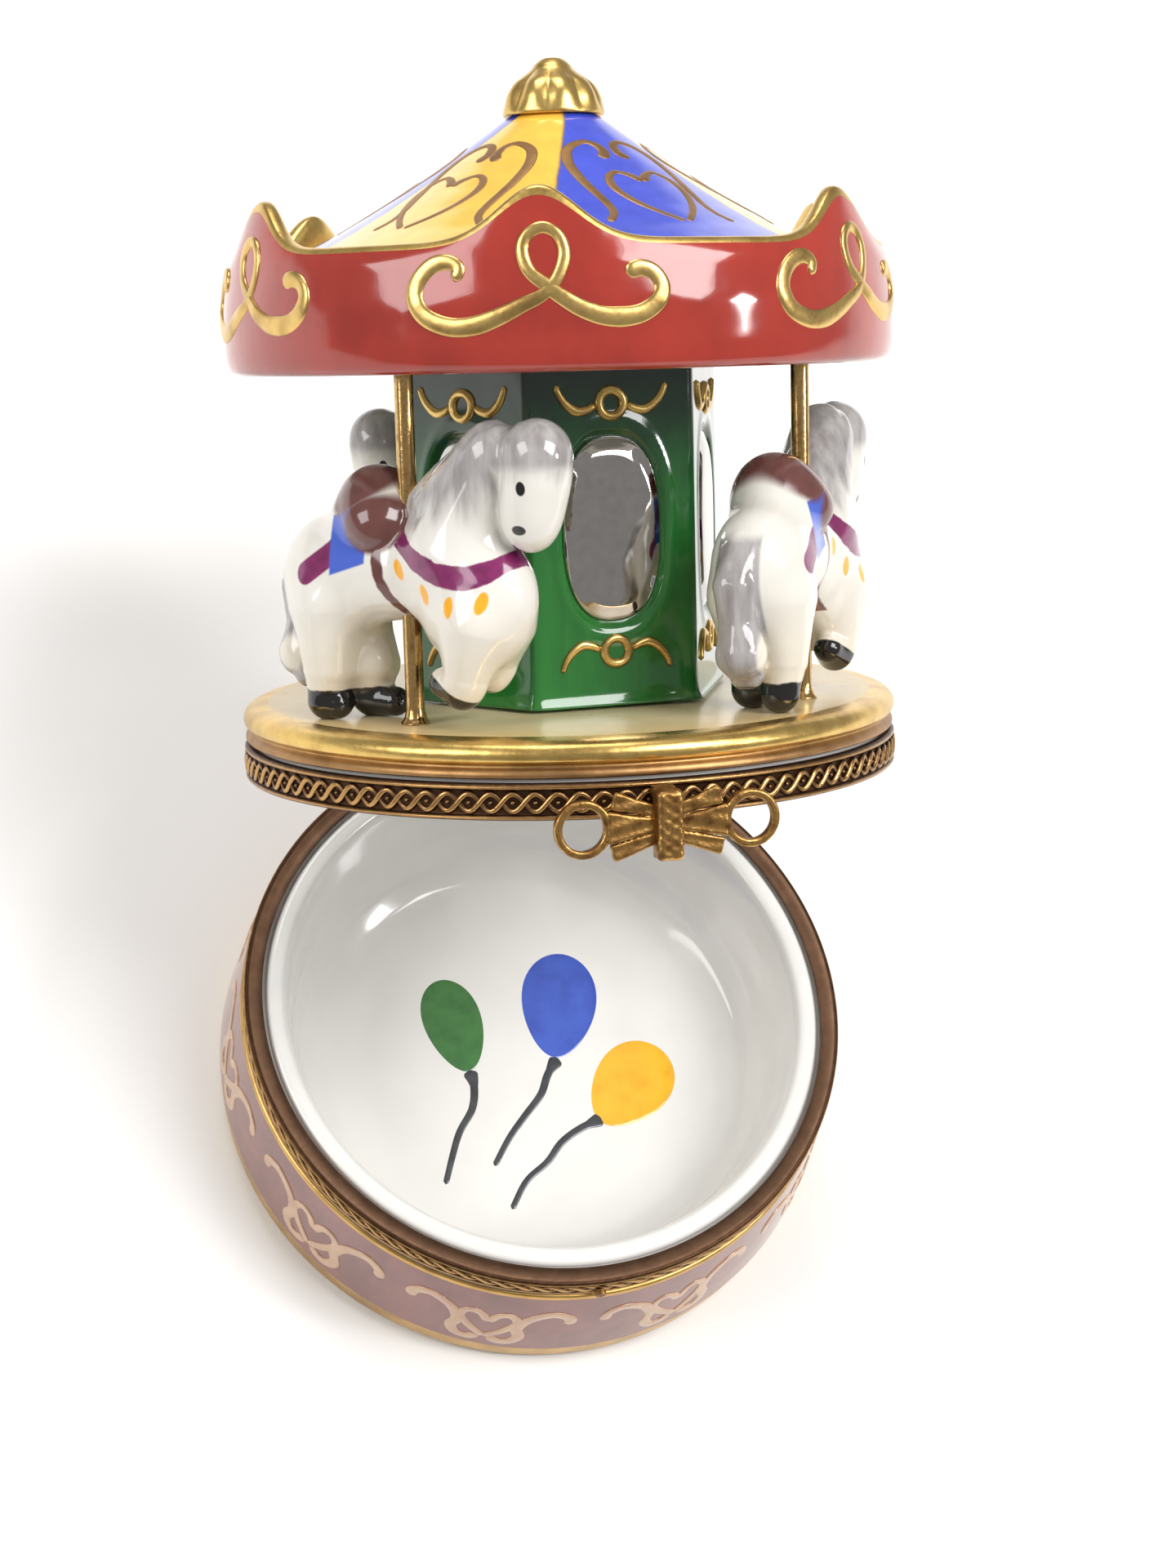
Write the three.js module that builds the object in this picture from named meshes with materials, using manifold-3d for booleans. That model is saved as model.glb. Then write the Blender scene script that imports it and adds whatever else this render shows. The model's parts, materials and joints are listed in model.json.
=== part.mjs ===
// Hinged porcelain trinket box with a carousel standing on its lid, stored with the lid open.
// Millimetres, +Z up. The origin is the centre of the foot and the clasp faces -Y.

import * as THREE from 'three';
import { mergeVertices } from 'three/addons/utils/BufferGeometryUtils.js';
import Module from 'manifold-3d';

const wasm = await Module();
wasm.setup();

// ---- Driving dimensions ----
const BEZEL_R = 30; // outer radius of both brass bezels
const BEZEL_LIP_R = 28.1; // inner radius of their flat rims
const BEZEL_SKIRT = 0.75; // thickness of the skirt round the porcelain
const RIM_Z = 17.8; // parting plane between box and lid
const FOOT_R = 31.55;
const HINGE_Y = BEZEL_R + 2.9; // hinge axis, parallel to X in the parting plane
const OPEN_ANGLE = 50.6; // degrees from the closed lid to the stored one
const GAP = 0.3; // between neighbouring pieces
const PARTING_GAP = 0.1; // from the parting plane to either bezel

const PLATFORM_Z = 6.75; // carousel floor above the parting plane
const PLATFORM_WALL = 2;
const COLUMN_R = 15.1; // centre to corner of the six-sided column
const COLUMN_TURN = 5; // degrees, from the clasp to the middle of a face
const COLUMN_TOP = 44.8;
const MIRROR_W = 9.2;
const MIRROR_H = 16.2;
const MIRROR_Z = 22.4;
const VALANCE_R = 30.1;
const VALANCE_WALL = 3.4;
const VALANCE_Z = 36.2; // lower edge of the valance
const EAVE_Z = 46.5; // lowest part of the valance's wavy top edge
const PEAK_RISE = 4.3;
const PEAK_TURN = -17; // degrees, from the clasp to the nearest peak
const PEAK_SPREAD = 9; // degrees
const ROOF_TOP = 58.8;
const FINIAL_TOP = 63.3;
const POLE_R = 0.8;
const POLE_TOP = 42.2;
const POLE_RING_R = 22.7;
const POLE_TURNS = { left: -49.3, right: 52.6, rear: 180 }; // degrees from the clasp
const HORSE_BACK = 1.6; // how far a horse stands behind its pole
const HORSE_IN = 0.8; // and how far it stands towards the column
const SIDES = 6;
const RING_SEGMENTS = 42;

const KNUCKLE_R = 1.3;
const PIN_R = 0.6;
const KNUCKLE_LENGTH = 2.6;
const KNUCKLE_COUNT = 5;
const KNUCKLE_PITCH = KNUCKLE_LENGTH + GAP;
const LID_STOP = 50; // degrees from +Y to each leaf's stop tab, with the lid closed
const BOX_STOP = OPEN_ANGLE - LID_STOP + 32;
const HINGE_WIDTH = KNUCKLE_COUNT * KNUCKLE_LENGTH + (KNUCKLE_COUNT - 1) * GAP;

// Distances from the box's axis to the catch and the clasp, at the front of the bezels.
const STUD_FOOT = BEZEL_R + 0.1;
const STUD_TIP = BEZEL_R + 0.55;
const STRIP_FRONT = BEZEL_R + 0.6;
const STRIP_BACK = BEZEL_R + 1;
const CLASP_BACK = BEZEL_R + 1.15;
const CLASP_HALF_H = 2.9;
const CLASP_Z = -0.15; // middle of the clasp above the parting plane
const CLASP_TOP = 2.8; // top of the strip that it bends on
const LOOP_X = 7.1;
const LOOP_R = 2.4;
const LOOP_BORE = 1.65;

const radians = THREE.MathUtils.degToRad;

// ---- Materials ----
function finish(color, roughness, metalness) {
  return new THREE.MeshStandardMaterial({ color, roughness, metalness });
}
const PORCELAIN = finish(0xe9e6df, 0.12, 0);
const PINK_GLAZE = finish(0xa8707a, 0.15, 0);
const CREAM_GLAZE = finish(0xdcc9a8, 0.15, 0);
const RED_GLAZE = finish(0xb24838, 0.1, 0);
const GREEN_GLAZE = finish(0x23692f, 0.1, 0);
const GILT = finish(0xcda650, 0.2, 1);
const BRASS = finish(0xb98f4e, 0.3, 1);
const ANTIQUE_BRASS = finish(0x7a5c40, 0.4, 1);
const MIRROR = finish(0xc8c8c8, 0.03, 1);

// ---- Geometry helpers ----
function toSolid(geometry) {
  const bare = geometry.clone();
  bare.deleteAttribute('normal');
  bare.deleteAttribute('uv');
  const merged = mergeVertices(bare, 1e-4);
  return new wasm.Manifold(
    new wasm.Mesh({
      numProp: 3,
      vertProperties: Float32Array.from(merged.attributes.position.array),
      triVerts: Uint32Array.from(merged.index.array),
    })
  );
}

function toGeometry(solid) {
  const mesh = solid.getMesh();
  const geometry = new THREE.BufferGeometry();
  geometry.setAttribute('position', new THREE.BufferAttribute(Float32Array.from(mesh.vertProperties), 3));
  geometry.setIndex(new THREE.BufferAttribute(Uint32Array.from(mesh.triVerts), 1));
  geometry.computeVertexNormals();
  return geometry;
}

function join(geometries) {
  return geometries.map(toSolid).reduce((sum, solid) => sum.add(solid));
}

function piece(name, geometry, material, position = [0, 0, 0], turn = 0) {
  const mesh = new THREE.Mesh(geometry, material);
  mesh.name = name;
  mesh.position.set(...position);
  mesh.rotation.z = turn;
  return mesh;
}

// A body of revolution about Z; the profile is a list of [radius, height].
function turned(profile, segments = RING_SEGMENTS) {
  const points = profile.map(([r, z]) => new THREE.Vector2(r, z));
  return new THREE.LatheGeometry(points, segments).rotateX(Math.PI / 2);
}

function block(x0, x1, y0, y1, z0, z1) {
  const box = new THREE.BoxGeometry(x1 - x0, y1 - y0, z1 - z0);
  return box.translate((x0 + x1) / 2, (y0 + y1) / 2, (z0 + z1) / 2);
}

function barAlongX(radius, x0, x1, segments = 12) {
  return new THREE.CylinderGeometry(radius, radius, x1 - x0, segments)
    .rotateZ(Math.PI / 2)
    .translate((x0 + x1) / 2, 0, 0);
}

// A point on a circle about Z, its angle counted from the clasp towards +X.
function around(radius, degrees, z = 0) {
  return [radius * Math.sin(radians(degrees)), -radius * Math.cos(radians(degrees)), z];
}

// ---- Box ----
function bowl() {
  const shoulder = RIM_Z - 3;
  const seat = BEZEL_R - BEZEL_SKIRT - 0.35;
  const lip = BEZEL_LIP_R - 0.4;
  const wall = [0, 0.35, 0.7, 1].map((t) => [FOOT_R - 1.5 * t ** 1.3, 1.6 + (shoulder - 1.6) * t]);
  return turned([
    [0, 0],
    [FOOT_R - 1.2, 0],
    [FOOT_R - 0.3, 0.5],
    ...wall,
    [seat, shoulder],
    [seat, RIM_Z - 1.2],
    [lip, RIM_Z - 1.2],
    [lip, RIM_Z - 0.7],
    [lip - 0.4, RIM_Z - 0.4],
    [lip - 1.6, RIM_Z - 0.4],
    [lip - 2, RIM_Z - 0.8],
    [24.8, 8],
    [23.6, 4.6],
    [20.5, 2.9],
    [16, 2.5],
    [0, 2.5],
  ]);
}

// An L-section ring: a flat rim and a skirt; side is +1 above the parting plane, -1 below it.
function bezel(height, side) {
  const inner = BEZEL_R - BEZEL_SKIRT;
  const section = [
    [BEZEL_LIP_R, side * PARTING_GAP],
    [BEZEL_R, side * PARTING_GAP],
    [BEZEL_R, side * height],
    [inner, side * height],
    [inner, side * 0.8],
    [BEZEL_LIP_R, side * 0.8],
    [BEZEL_LIP_R, side * PARTING_GAP],
  ];
  return turned(side > 0 ? section : section.reverse());
}

// ---- Hinge: the axis is the local X axis and the bezels are towards -Y ----
// This is the lid's leaf; the box's leaf is the same shape turned over, with the other knuckles.
function hingeLeaf(firstKnuckle, stopTilt) {
  const half = HINGE_WIDTH / 2;
  const bezelFace = BEZEL_R + GAP - HINGE_Y;
  const plateBack = bezelFace + 0.9;
  const plateLow = 0.3;
  const stopInner = KNUCKLE_R + 0.25;
  const stopOuter = KNUCKLE_R + 1.3;
  const stopHalf = 0.35;
  const tilt = radians(stopTilt);
  const parts = [
    block(-half, half, bezelFace, plateBack, plateLow, 2.5),
    block(-half, half, stopInner, stopOuter, -stopHalf, stopHalf).rotateX(tilt),
  ];
  for (let i = firstKnuckle; i < KNUCKLE_COUNT; i += 2) {
    const x0 = i * KNUCKLE_PITCH - half;
    const x1 = x0 + KNUCKLE_LENGTH;
    parts.push(barAlongX(KNUCKLE_R, x0, x1));
    parts.push(block(x0, x1, plateBack - 0.2, 0, plateLow, 1.1));
    parts.push(block(x0, x1, 0.9, stopInner + 0.2, -stopHalf, stopHalf).rotateX(tilt));
  }
  const bore = toSolid(barAlongX(PIN_R + 0.12, -half - 1, half + 1));
  return toGeometry(join(parts).subtract(bore));
}

// ---- Clasp: a bow with a band round its knot and a ring at each end; its back is at y = 0 ----
function claspRib(direction, rib) {
  const outline = new THREE.Shape();
  const root = rib * 0.75;
  const tip = rib * 1.9;
  const reach = direction * (4.1 - Math.abs(rib) * 0.25);
  outline.moveTo(0, root - 0.5);
  outline.lineTo(reach, tip - 1);
  outline.lineTo(reach + direction * 0.3, tip);
  outline.lineTo(reach, tip + 1);
  outline.lineTo(0, root + 0.5);
  outline.closePath();
  const depth = rib === 0 ? 0.9 : 0.7;
  return new THREE.ExtrudeGeometry(outline, { depth, bevelEnabled: false }).rotateX(Math.PI / 2);
}

function claspBow() {
  const ribs = [-1, 1].flatMap((direction) => [-1, 0, 1].map((rib) => claspRib(direction, rib)));
  return toGeometry(join([...ribs, block(-1, 1, -0.9, 0, -1.6, 1.6)]));
}

function claspBand() {
  const half = 1.15;
  const end = CLASP_HALF_H;
  const front = block(-half, half, -1.9, -1.2, -end, end);
  const upper = block(-half, half, -1.5, 0, end - 0.7, end);
  const lower = block(-half, half, -1.5, 0, -end, 0.7 - end);
  return toGeometry(join([front, upper, lower]));
}

function claspRing() {
  const section = [
    [LOOP_BORE, 0],
    [LOOP_R, 0],
    [LOOP_R, 1.1],
    [LOOP_BORE, 1.1],
    [LOOP_BORE, 0],
  ];
  return turned(section, 16).rotateX(Math.PI / 2);
}

// ---- Lid ----
function platform() {
  const seat = BEZEL_R - BEZEL_SKIRT - 0.35;
  return turned([
    [0, PLATFORM_Z - PLATFORM_WALL],
    [24.5, PLATFORM_Z - PLATFORM_WALL],
    [26.3, 3.2],
    [26.8, 1.2],
    [seat - 0.6, 1.2],
    [seat, 1.6],
    [seat, 3.5],
    [29.7, 3.6],
    [29.45, 4.3],
    [29.7, 5.1],
    [29.75, 5.7],
    [29.4, 6.3],
    [28.7, 6.5],
    [28, PLATFORM_Z],
    [0, PLATFORM_Z],
  ]);
}

function hexagon(radius) {
  const shape = new THREE.Shape();
  for (let i = 0; i < SIDES; i += 1) {
    const [x, y] = around(radius, COLUMN_TURN + (i + 0.5) * (360 / SIDES));
    shape[i ? 'lineTo' : 'moveTo'](x, y);
  }
  shape.closePath();
  return shape;
}

// An oval plate standing on edge: its back in the XZ plane, its face towards -Y.
function oval(width, height, depth) {
  const shape = new THREE.Shape().absellipse(0, 0, width / 2, height / 2, 0, Math.PI * 2);
  const geometry = new THREE.ExtrudeGeometry(shape, { depth, bevelEnabled: false, curveSegments: 9 });
  return geometry.rotateX(Math.PI / 2);
}

const COLUMN_FACE = COLUMN_R * Math.cos(Math.PI / SIDES);
const POCKET_DEPTH = 0.9;

function column() {
  const outline = hexagon(COLUMN_R);
  outline.holes.push(hexagon(COLUMN_R - 2.6));
  const low = PLATFORM_Z + GAP;
  const prism = new THREE.ExtrudeGeometry(outline, { depth: COLUMN_TOP - low, bevelEnabled: false });
  let solid = toSolid(prism.translate(0, 0, low));
  for (let i = 0; i < SIDES; i += 1) {
    const turn = COLUMN_TURN + i * (360 / SIDES);
    const pocket = oval(MIRROR_W + 2 * GAP, MIRROR_H + 2 * GAP, POCKET_DEPTH + 1);
    pocket.translate(0, POCKET_DEPTH - COLUMN_FACE, MIRROR_Z).rotateZ(radians(turn));
    solid = solid.subtract(toSolid(pocket));
  }
  return toGeometry(solid);
}

// 1 at a peak of the valance and 0 between two peaks.
function peakShare(x, y) {
  const turn = THREE.MathUtils.radToDeg(Math.atan2(x, -y)) - PEAK_TURN;
  const pitch = 360 / SIDES;
  const offset = turn - pitch * Math.round(turn / pitch);
  return Math.exp(-((offset / PEAK_SPREAD) ** 2));
}

function canopy() {
  const eave = 26.8;
  const knob = 3.2;
  const roofRise = ROOF_TOP - EAVE_Z + 1.3;
  const roofAt = (r) => ROOF_TOP - roofRise + roofRise * ((eave - r) / (eave - knob)) ** 1.25;
  const roofRadii = [knob, 8, 13, 18, 23, eave];
  const inner = VALANCE_R - VALANCE_WALL;
  // Rows of [radius, height, share of the peak's rise, lean towards the axis at a peak].
  const rows = [
    [0, COLUMN_TOP + GAP, 0, 0],
    [COLUMN_R + 1, COLUMN_TOP + GAP, 0, 0],
    [inner - 1, 42, 0, 0],
    [inner, 40.6, 0, 0],
    [inner, VALANCE_Z + 0.4, 0, 0],
    [inner + 0.5, VALANCE_Z, 0, 0],
    [VALANCE_R - 1, VALANCE_Z, 0, 0],
    [VALANCE_R - 0.3, VALANCE_Z + 0.5, 0, 0],
    [VALANCE_R, VALANCE_Z + 2, 0, 0],
    [VALANCE_R, VALANCE_Z + 5.5, 0, 0.1],
    [VALANCE_R - 0.5, EAVE_Z - 1.6, 0.5, 0.4],
    [VALANCE_R - 1.1, EAVE_Z - 0.2, 1, 0.8],
    [VALANCE_R - 1.9, EAVE_Z, 1, 0.8],
    [VALANCE_R - 2.6, EAVE_Z - 0.5, 0.9, 0.7],
    ...roofRadii.map((r) => [r, roofAt(r), 0, 0]).reverse(),
    [0, ROOF_TOP, 0, 0],
  ];
  const geometry = turned(rows.map(([r, z]) => [r, z]));
  const position = geometry.attributes.position;
  for (let i = 0; i < position.count; i += 1) {
    const [r, z, rise, lean] = rows[i % rows.length];
    if (r === 0) continue;
    const share = peakShare(position.getX(i), position.getY(i));
    const shrink = 1 - (lean * share) / r;
    position.setXYZ(i, position.getX(i) * shrink, position.getY(i) * shrink, z + PEAK_RISE * rise * share);
  }
  return geometry;
}

function finial() {
  return turned(
    [
      [0, ROOF_TOP + GAP],
      [3.3, ROOF_TOP + GAP],
      [4.2, ROOF_TOP - 0.3],
      [4.5, ROOF_TOP - 0.1],
      [4.4, ROOF_TOP + 0.5],
      [4, ROOF_TOP + 1.5],
      [3.3, ROOF_TOP + 2.6],
      [2.1, ROOF_TOP + 3.3],
      [1.7, ROOF_TOP + 3.8],
      [1, FINIAL_TOP - 0.2],
      [0, FINIAL_TOP],
    ],
    18
  );
}

function pole() {
  const foot = PLATFORM_Z + GAP;
  return turned(
    [
      [0, foot],
      [1.15, foot],
      [POLE_R, foot + 1.1],
      [POLE_R, POLE_TOP],
      [0, POLE_TOP],
    ],
    12
  );
}

// ---- Horse: +X forwards, +Y to its left, heights above the platform ----
function blob(x, y, z, length, width, height, pitch = 0) {
  return new THREE.SphereGeometry(1, 9, 6)
    .rotateX(Math.PI / 2)
    .scale(length / 2, width / 2, height / 2)
    .rotateY(radians(pitch))
    .translate(x, y, z);
}

function limb([x0, y0, z0], [x1, y1, z1], top, bottom) {
  const start = new THREE.Vector3(x0, y0, z0);
  const end = new THREE.Vector3(x1, y1, z1);
  const run = start.clone().sub(end);
  const geometry = new THREE.CylinderGeometry(top, bottom, run.length(), 7);
  const aim = new THREE.Quaternion().setFromUnitVectors(new THREE.Vector3(0, 1, 0), run.normalize());
  const middle = start.add(end).multiplyScalar(0.5);
  return geometry.applyQuaternion(aim).translate(middle.x, middle.y, middle.z);
}

function horse() {
  const hipSide = 1.75;
  const shapes = [
    blob(-2.2, 0, 13.8, 17, 8, 9.6), // barrel
    blob(-7.3, 0, 13, 10.5, 8.2, 12.4), // rump
    blob(7.4, 0, 11.2, 11.6, 8.2, 12.4), // chest
    blob(8, 0, 17.6, 8.6, 6.4, 14.6, 22), // neck
    blob(14, 0, 19.9, 6.8, 5.4, 10.6, -4), // head
    blob(10.5, 0, 22.6, 5, 4.4, 6), // poll and mane
    blob(14.4, 0, 22.7, 5.8, 5, 5.4), // forelock
    blob(-2.2, 0, 17.8, 8.4, 8.2, 7), // saddle
    blob(-11.4, 0, 9, 4.6, 4, 12), // tail
    limb([-6.6, -hipSide, 9], [-7.4, -hipSide, GAP], 2.4, 1.5), // outer hind leg
    limb([-5.6, hipSide, 9], [-5.2, hipSide, GAP], 2.4, 1.5), // inner hind leg
    limb([8.6, -2, 8], [8.4, -2, 3.8], 2.4, 1.7), // outer fore leg
    limb([8.9, -2, 4.4], [5, -2, 2.6], 1.6, 1.4),
    limb([9.2, 2, 8], [9.6, 2, 4], 2.4, 1.6), // inner fore leg
    limb([9.9, 2, 4.4], [7, 2, 2.6], 1.5, 1.4),
  ];
  const hole = new THREE.CylinderGeometry(POLE_R + 0.37, POLE_R + 0.37, 60, 12).rotateX(Math.PI / 2);
  hole.translate(HORSE_BACK, -HORSE_IN, 0);
  return toGeometry(join(shapes).subtract(toSolid(hole)));
}

// ---- Assembly ----
function box() {
  const group = new THREE.Group();
  const hingePlace = [0, HINGE_Y, RIM_Z];
  const reach = HINGE_WIDTH / 2 + 0.5;
  const stud = new THREE.CylinderGeometry(0.5, 0.6, STUD_TIP - STUD_FOOT, 12).rotateX(Math.PI);
  const leaf = hingeLeaf(0, BOX_STOP).rotateY(Math.PI);
  group.add(piece('base_bowl', bowl(), PINK_GLAZE));
  group.add(piece('base_bezel', bezel(2.6, -1), ANTIQUE_BRASS, [0, 0, RIM_Z]));
  group.add(piece('base_hinge_leaf', leaf, BRASS, hingePlace));
  group.add(piece('hinge_pin', barAlongX(PIN_R, -reach, reach), BRASS, hingePlace));
  group.add(piece('catch_stud', stud, BRASS, [0, -(STUD_FOOT + STUD_TIP) / 2, RIM_Z - 1.4]));
  return group;
}

function clasp() {
  const group = new THREE.Group();
  const place = [0, -CLASP_BACK, CLASP_Z];
  const strip = block(-0.9, 0.9, -STRIP_BACK, -STRIP_FRONT, CLASP_Z - CLASP_HALF_H, CLASP_TOP);
  const lug = block(-0.9, 0.9, -STRIP_FRONT + 0.1, -BEZEL_R - 0.1, CLASP_TOP - 0.9, CLASP_TOP);
  group.add(piece('clasp_mount', lug, BRASS));
  group.add(piece('clasp_strip', strip, BRASS));
  group.add(piece('clasp_bow', claspBow(), BRASS, place));
  group.add(piece('clasp_band', claspBand(), BRASS, place));
  for (const [name, side] of [['left', -1], ['right', 1]]) {
    group.add(piece(`clasp_ring_${name}`, claspRing(), BRASS, [side * LOOP_X, -CLASP_BACK, CLASP_Z]));
  }
  return group;
}

function carousel() {
  const group = new THREE.Group();
  group.add(piece('lid_bezel', bezel(3.2, 1), ANTIQUE_BRASS));
  group.add(piece('lid_hinge_leaf', hingeLeaf(1, LID_STOP), BRASS, [0, HINGE_Y, 0]));
  group.add(piece('platform', platform(), CREAM_GLAZE));
  group.add(piece('column', column(), GREEN_GLAZE));
  group.add(piece('canopy', canopy(), RED_GLAZE));
  group.add(piece('finial', finial(), GILT));
  for (let i = 0; i < SIDES; i += 1) {
    const turn = COLUMN_TURN + i * (360 / SIDES);
    const place = around(COLUMN_FACE - POCKET_DEPTH + GAP, turn, MIRROR_Z);
    const plate = oval(MIRROR_W, MIRROR_H, POCKET_DEPTH);
    group.add(piece(`mirror_${i + 1}`, plate, MIRROR, place, radians(turn)));
  }
  for (const [side, turn] of Object.entries(POLE_TURNS)) {
    const place = around(POLE_RING_R, turn, 0);
    group.add(piece(`pole_${side}`, pole(), BRASS, place));
    const figure = horse().translate(-HORSE_BACK, HORSE_IN, 0);
    const stand = [place[0], place[1], PLATFORM_Z];
    group.add(piece(`horse_${side}`, figure, PORCELAIN, stand, radians(turn)));
  }
  return group;
}

// The lid turns about the hinge; its pieces are placed above the parting plane of the closed box.
const lid = new THREE.Group();
lid.position.set(0, HINGE_Y, RIM_Z);
lid.rotation.x = -radians(OPEN_ANGLE);
const closedFrame = new THREE.Group();
closedFrame.position.set(0, -HINGE_Y, 0);
closedFrame.add(carousel(), clasp());
lid.add(closedFrame);

const model = new THREE.Group();
model.add(box(), lid);

export default model;
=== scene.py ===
"""A hinged porcelain trinket box with a carousel on its lid: its looks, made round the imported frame."""
import functools
import json
import math

import bmesh
import bpy
import numpy as np
from mathutils import Matrix, Vector


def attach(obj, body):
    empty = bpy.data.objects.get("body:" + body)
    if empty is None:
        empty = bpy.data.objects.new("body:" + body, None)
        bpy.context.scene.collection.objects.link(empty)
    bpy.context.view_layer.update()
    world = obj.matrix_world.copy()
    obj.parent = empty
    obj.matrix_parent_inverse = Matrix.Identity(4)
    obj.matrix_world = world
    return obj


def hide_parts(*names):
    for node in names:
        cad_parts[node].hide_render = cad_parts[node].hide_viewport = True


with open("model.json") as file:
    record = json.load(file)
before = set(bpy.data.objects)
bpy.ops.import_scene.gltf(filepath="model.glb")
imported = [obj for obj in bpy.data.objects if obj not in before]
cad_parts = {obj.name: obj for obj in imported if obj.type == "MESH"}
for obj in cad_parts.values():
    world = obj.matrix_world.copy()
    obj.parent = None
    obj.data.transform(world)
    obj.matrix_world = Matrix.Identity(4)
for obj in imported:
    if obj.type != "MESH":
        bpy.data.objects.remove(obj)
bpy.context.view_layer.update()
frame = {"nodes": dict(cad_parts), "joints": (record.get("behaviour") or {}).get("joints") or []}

# ---- Frames and sizes: shapes are in millimetres, in the frame of the box or of the closed lid ----
MM = 0.001
hinge = next(joint for joint in frame["joints"] if joint["name"] == "lid_hinge")
HINGE = Vector(hinge["pos_m"])
BOX = Matrix.Identity(4)
LID = (
    Matrix.Translation(HINGE)
    @ Matrix.Rotation(-math.radians(hinge["range_deg"][1]), 4, "X")
    @ Matrix.Translation((0, -HINGE.y, 0))
)


def extent(node, place=LID):
    """Lowest and highest corner of a CAD node in millimetres, in the frame of place."""
    back = place.inverted()
    points = np.array([back @ v.co for v in frame["nodes"][node].data.vertices]) / MM
    return points.min(0), points.max(0)


RIM_Z = HINGE.z / MM
FOOT_R = extent("base_bowl", BOX)[1][0]
BEZEL_R = extent("base_bezel", BOX)[1][0]
LID_BEZEL_H = extent("lid_bezel")[1][2]
BOX_BEZEL_H = RIM_Z - extent("base_bezel", BOX)[0][2]
PLATFORM_Z = extent("platform")[1][2]
VALANCE_R = extent("canopy")[1][0]
VALANCE_Z = extent("canopy")[0][2]
ROOF_TOP = extent("canopy")[1][2]
FINIAL_TOP = extent("finial")[1][2]
COLUMN_TOP = extent("column")[1][2]
COLUMN_FOOT = extent("column")[0][2]
POLE_TOP = extent("pole_left")[1][2]
BEZEL_LIP_R = 28.1
SEAT_R = BEZEL_R - 1.1  # the porcelain's outside, under the skirt of a bezel
BEZEL_INNER = BEZEL_R - 0.75
EAVE_Z = VALANCE_Z + 10.3
PEAK_RISE = 4.3
PEAK_TURN = -17  # degrees from the clasp to the nearest peak of the valance
PEAK_SPREAD = 9
SEAM_TURN = -15.5  # degrees from the clasp to the nearest seam between two panels of the roof
EAVE_R = 26.8
KNOB_R = 3.2
COLUMN_R = 15.1
COLUMN_TURN = 5  # degrees from the clasp to the middle of a face
SIDES = 6
PITCH = 360 / SIDES
APOTHEM = COLUMN_R * math.cos(math.pi / SIDES)
MIRROR_W = 9.2
MIRROR_H = 16.2
MIRROR_Z = 22.4
POLE_R = 0.8
POLE_RING_R = 22.7
POLE_TURNS = {"left": -49.3, "right": 52.6, "rear": 180}
HORSE_BACK = 1.6  # how far a horse stands behind its pole
HORSE_IN = 0.8  # and how far it stands towards the column
BOWL_FLOOR = 2.5
UP = np.array([0, 0, 1.0])


# ---- Mesh helpers ----
def outward(turn):
    """Directions straight out from Z; turn is in radians from the clasp towards +X."""
    return np.stack([np.sin(turn), -np.cos(turn), np.zeros_like(turn)], -1)


def around(radius, degrees, z=0.0):
    """A point on a circle about Z."""
    return radius * outward(math.radians(degrees)) + z * UP


def grid_faces(rows, columns, wrap_rows=False, wrap_columns=False, caps=()):
    """Quads between neighbouring points of a grid listed row by row, and a face over each row in caps."""
    faces = []
    for i in range(rows if wrap_rows else rows - 1):
        for j in range(columns if wrap_columns else columns - 1):
            k, m = (i + 1) % rows, (j + 1) % columns
            faces.append((i * columns + j, i * columns + m, k * columns + m, k * columns + j))
    return faces + [tuple(range(i * columns, (i + 1) * columns)) for i in caps]


def linked(name, data):
    """A new object in the scene."""
    made = bpy.data.objects.new(name, data)
    bpy.context.scene.collection.objects.link(made)
    return made


def piece(name, shape, materials, place, body, replaces=(), paint=None):
    """A smooth mesh from (points in mm, faces); paint gives each face's material by its centre."""
    points, faces = shape
    mesh = bpy.data.meshes.new(name)
    mesh.from_pydata((np.asarray(points) * MM).tolist(), [], faces)
    edit = bmesh.new()
    edit.from_mesh(mesh)
    bmesh.ops.remove_doubles(edit, verts=edit.verts, dist=1e-7)
    bmesh.ops.recalc_face_normals(edit, faces=edit.faces)
    edit.to_mesh(mesh)
    edit.free()
    materials = materials if isinstance(materials, list) else [materials]
    for material in materials:
        mesh.materials.append(material)
    if paint:
        centres = np.array([f.center for f in mesh.polygons]) / MM
        mesh.polygons.foreach_set("material_index", paint(centres).astype(np.int32))
    mesh.shade_smooth()
    made = linked(name, mesh)
    made.matrix_world = place
    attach(made, body)
    if replaces:
        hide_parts(*replaces)


def merged(shapes):
    """Several (points, faces) as one."""
    points, faces = [], []
    for more_points, more_faces in shapes:
        start = len(points)
        points.extend(np.asarray(more_points).tolist())
        faces.extend([tuple(i + start for i in face) for face in more_faces])
    return points, faces


def filleted(points, cut, steps=5):
    """An open line of points with its corners rounded, each over up to cut of its two sides."""
    points = np.array(points, float)
    out = [points[0]]
    for before, corner, after in zip(points, points[1:], points[2:]):
        back, on = before - corner, after - corner
        start = corner + back * min(cut / max(np.linalg.norm(back[:2]), 1e-6), 0.45)
        end = corner + on * min(cut / max(np.linalg.norm(on[:2]), 1e-6), 0.45)
        for t in np.linspace(0, 1, steps):
            out.append((1 - t) ** 2 * start + 2 * t * (1 - t) * corner + t * t * end)
    out.append(points[-1])
    return np.array(out)


def densified(points, step):
    """A line of points with more of them along its long stretches."""
    out = [points[0]]
    for a, b in zip(points, points[1:]):
        count = max(1, int(np.ceil(np.linalg.norm((b - a)[:2]) / step)))
        out.extend(a + (b - a) * (i + 1) / count for i in range(count))
    return np.array(out)


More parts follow.
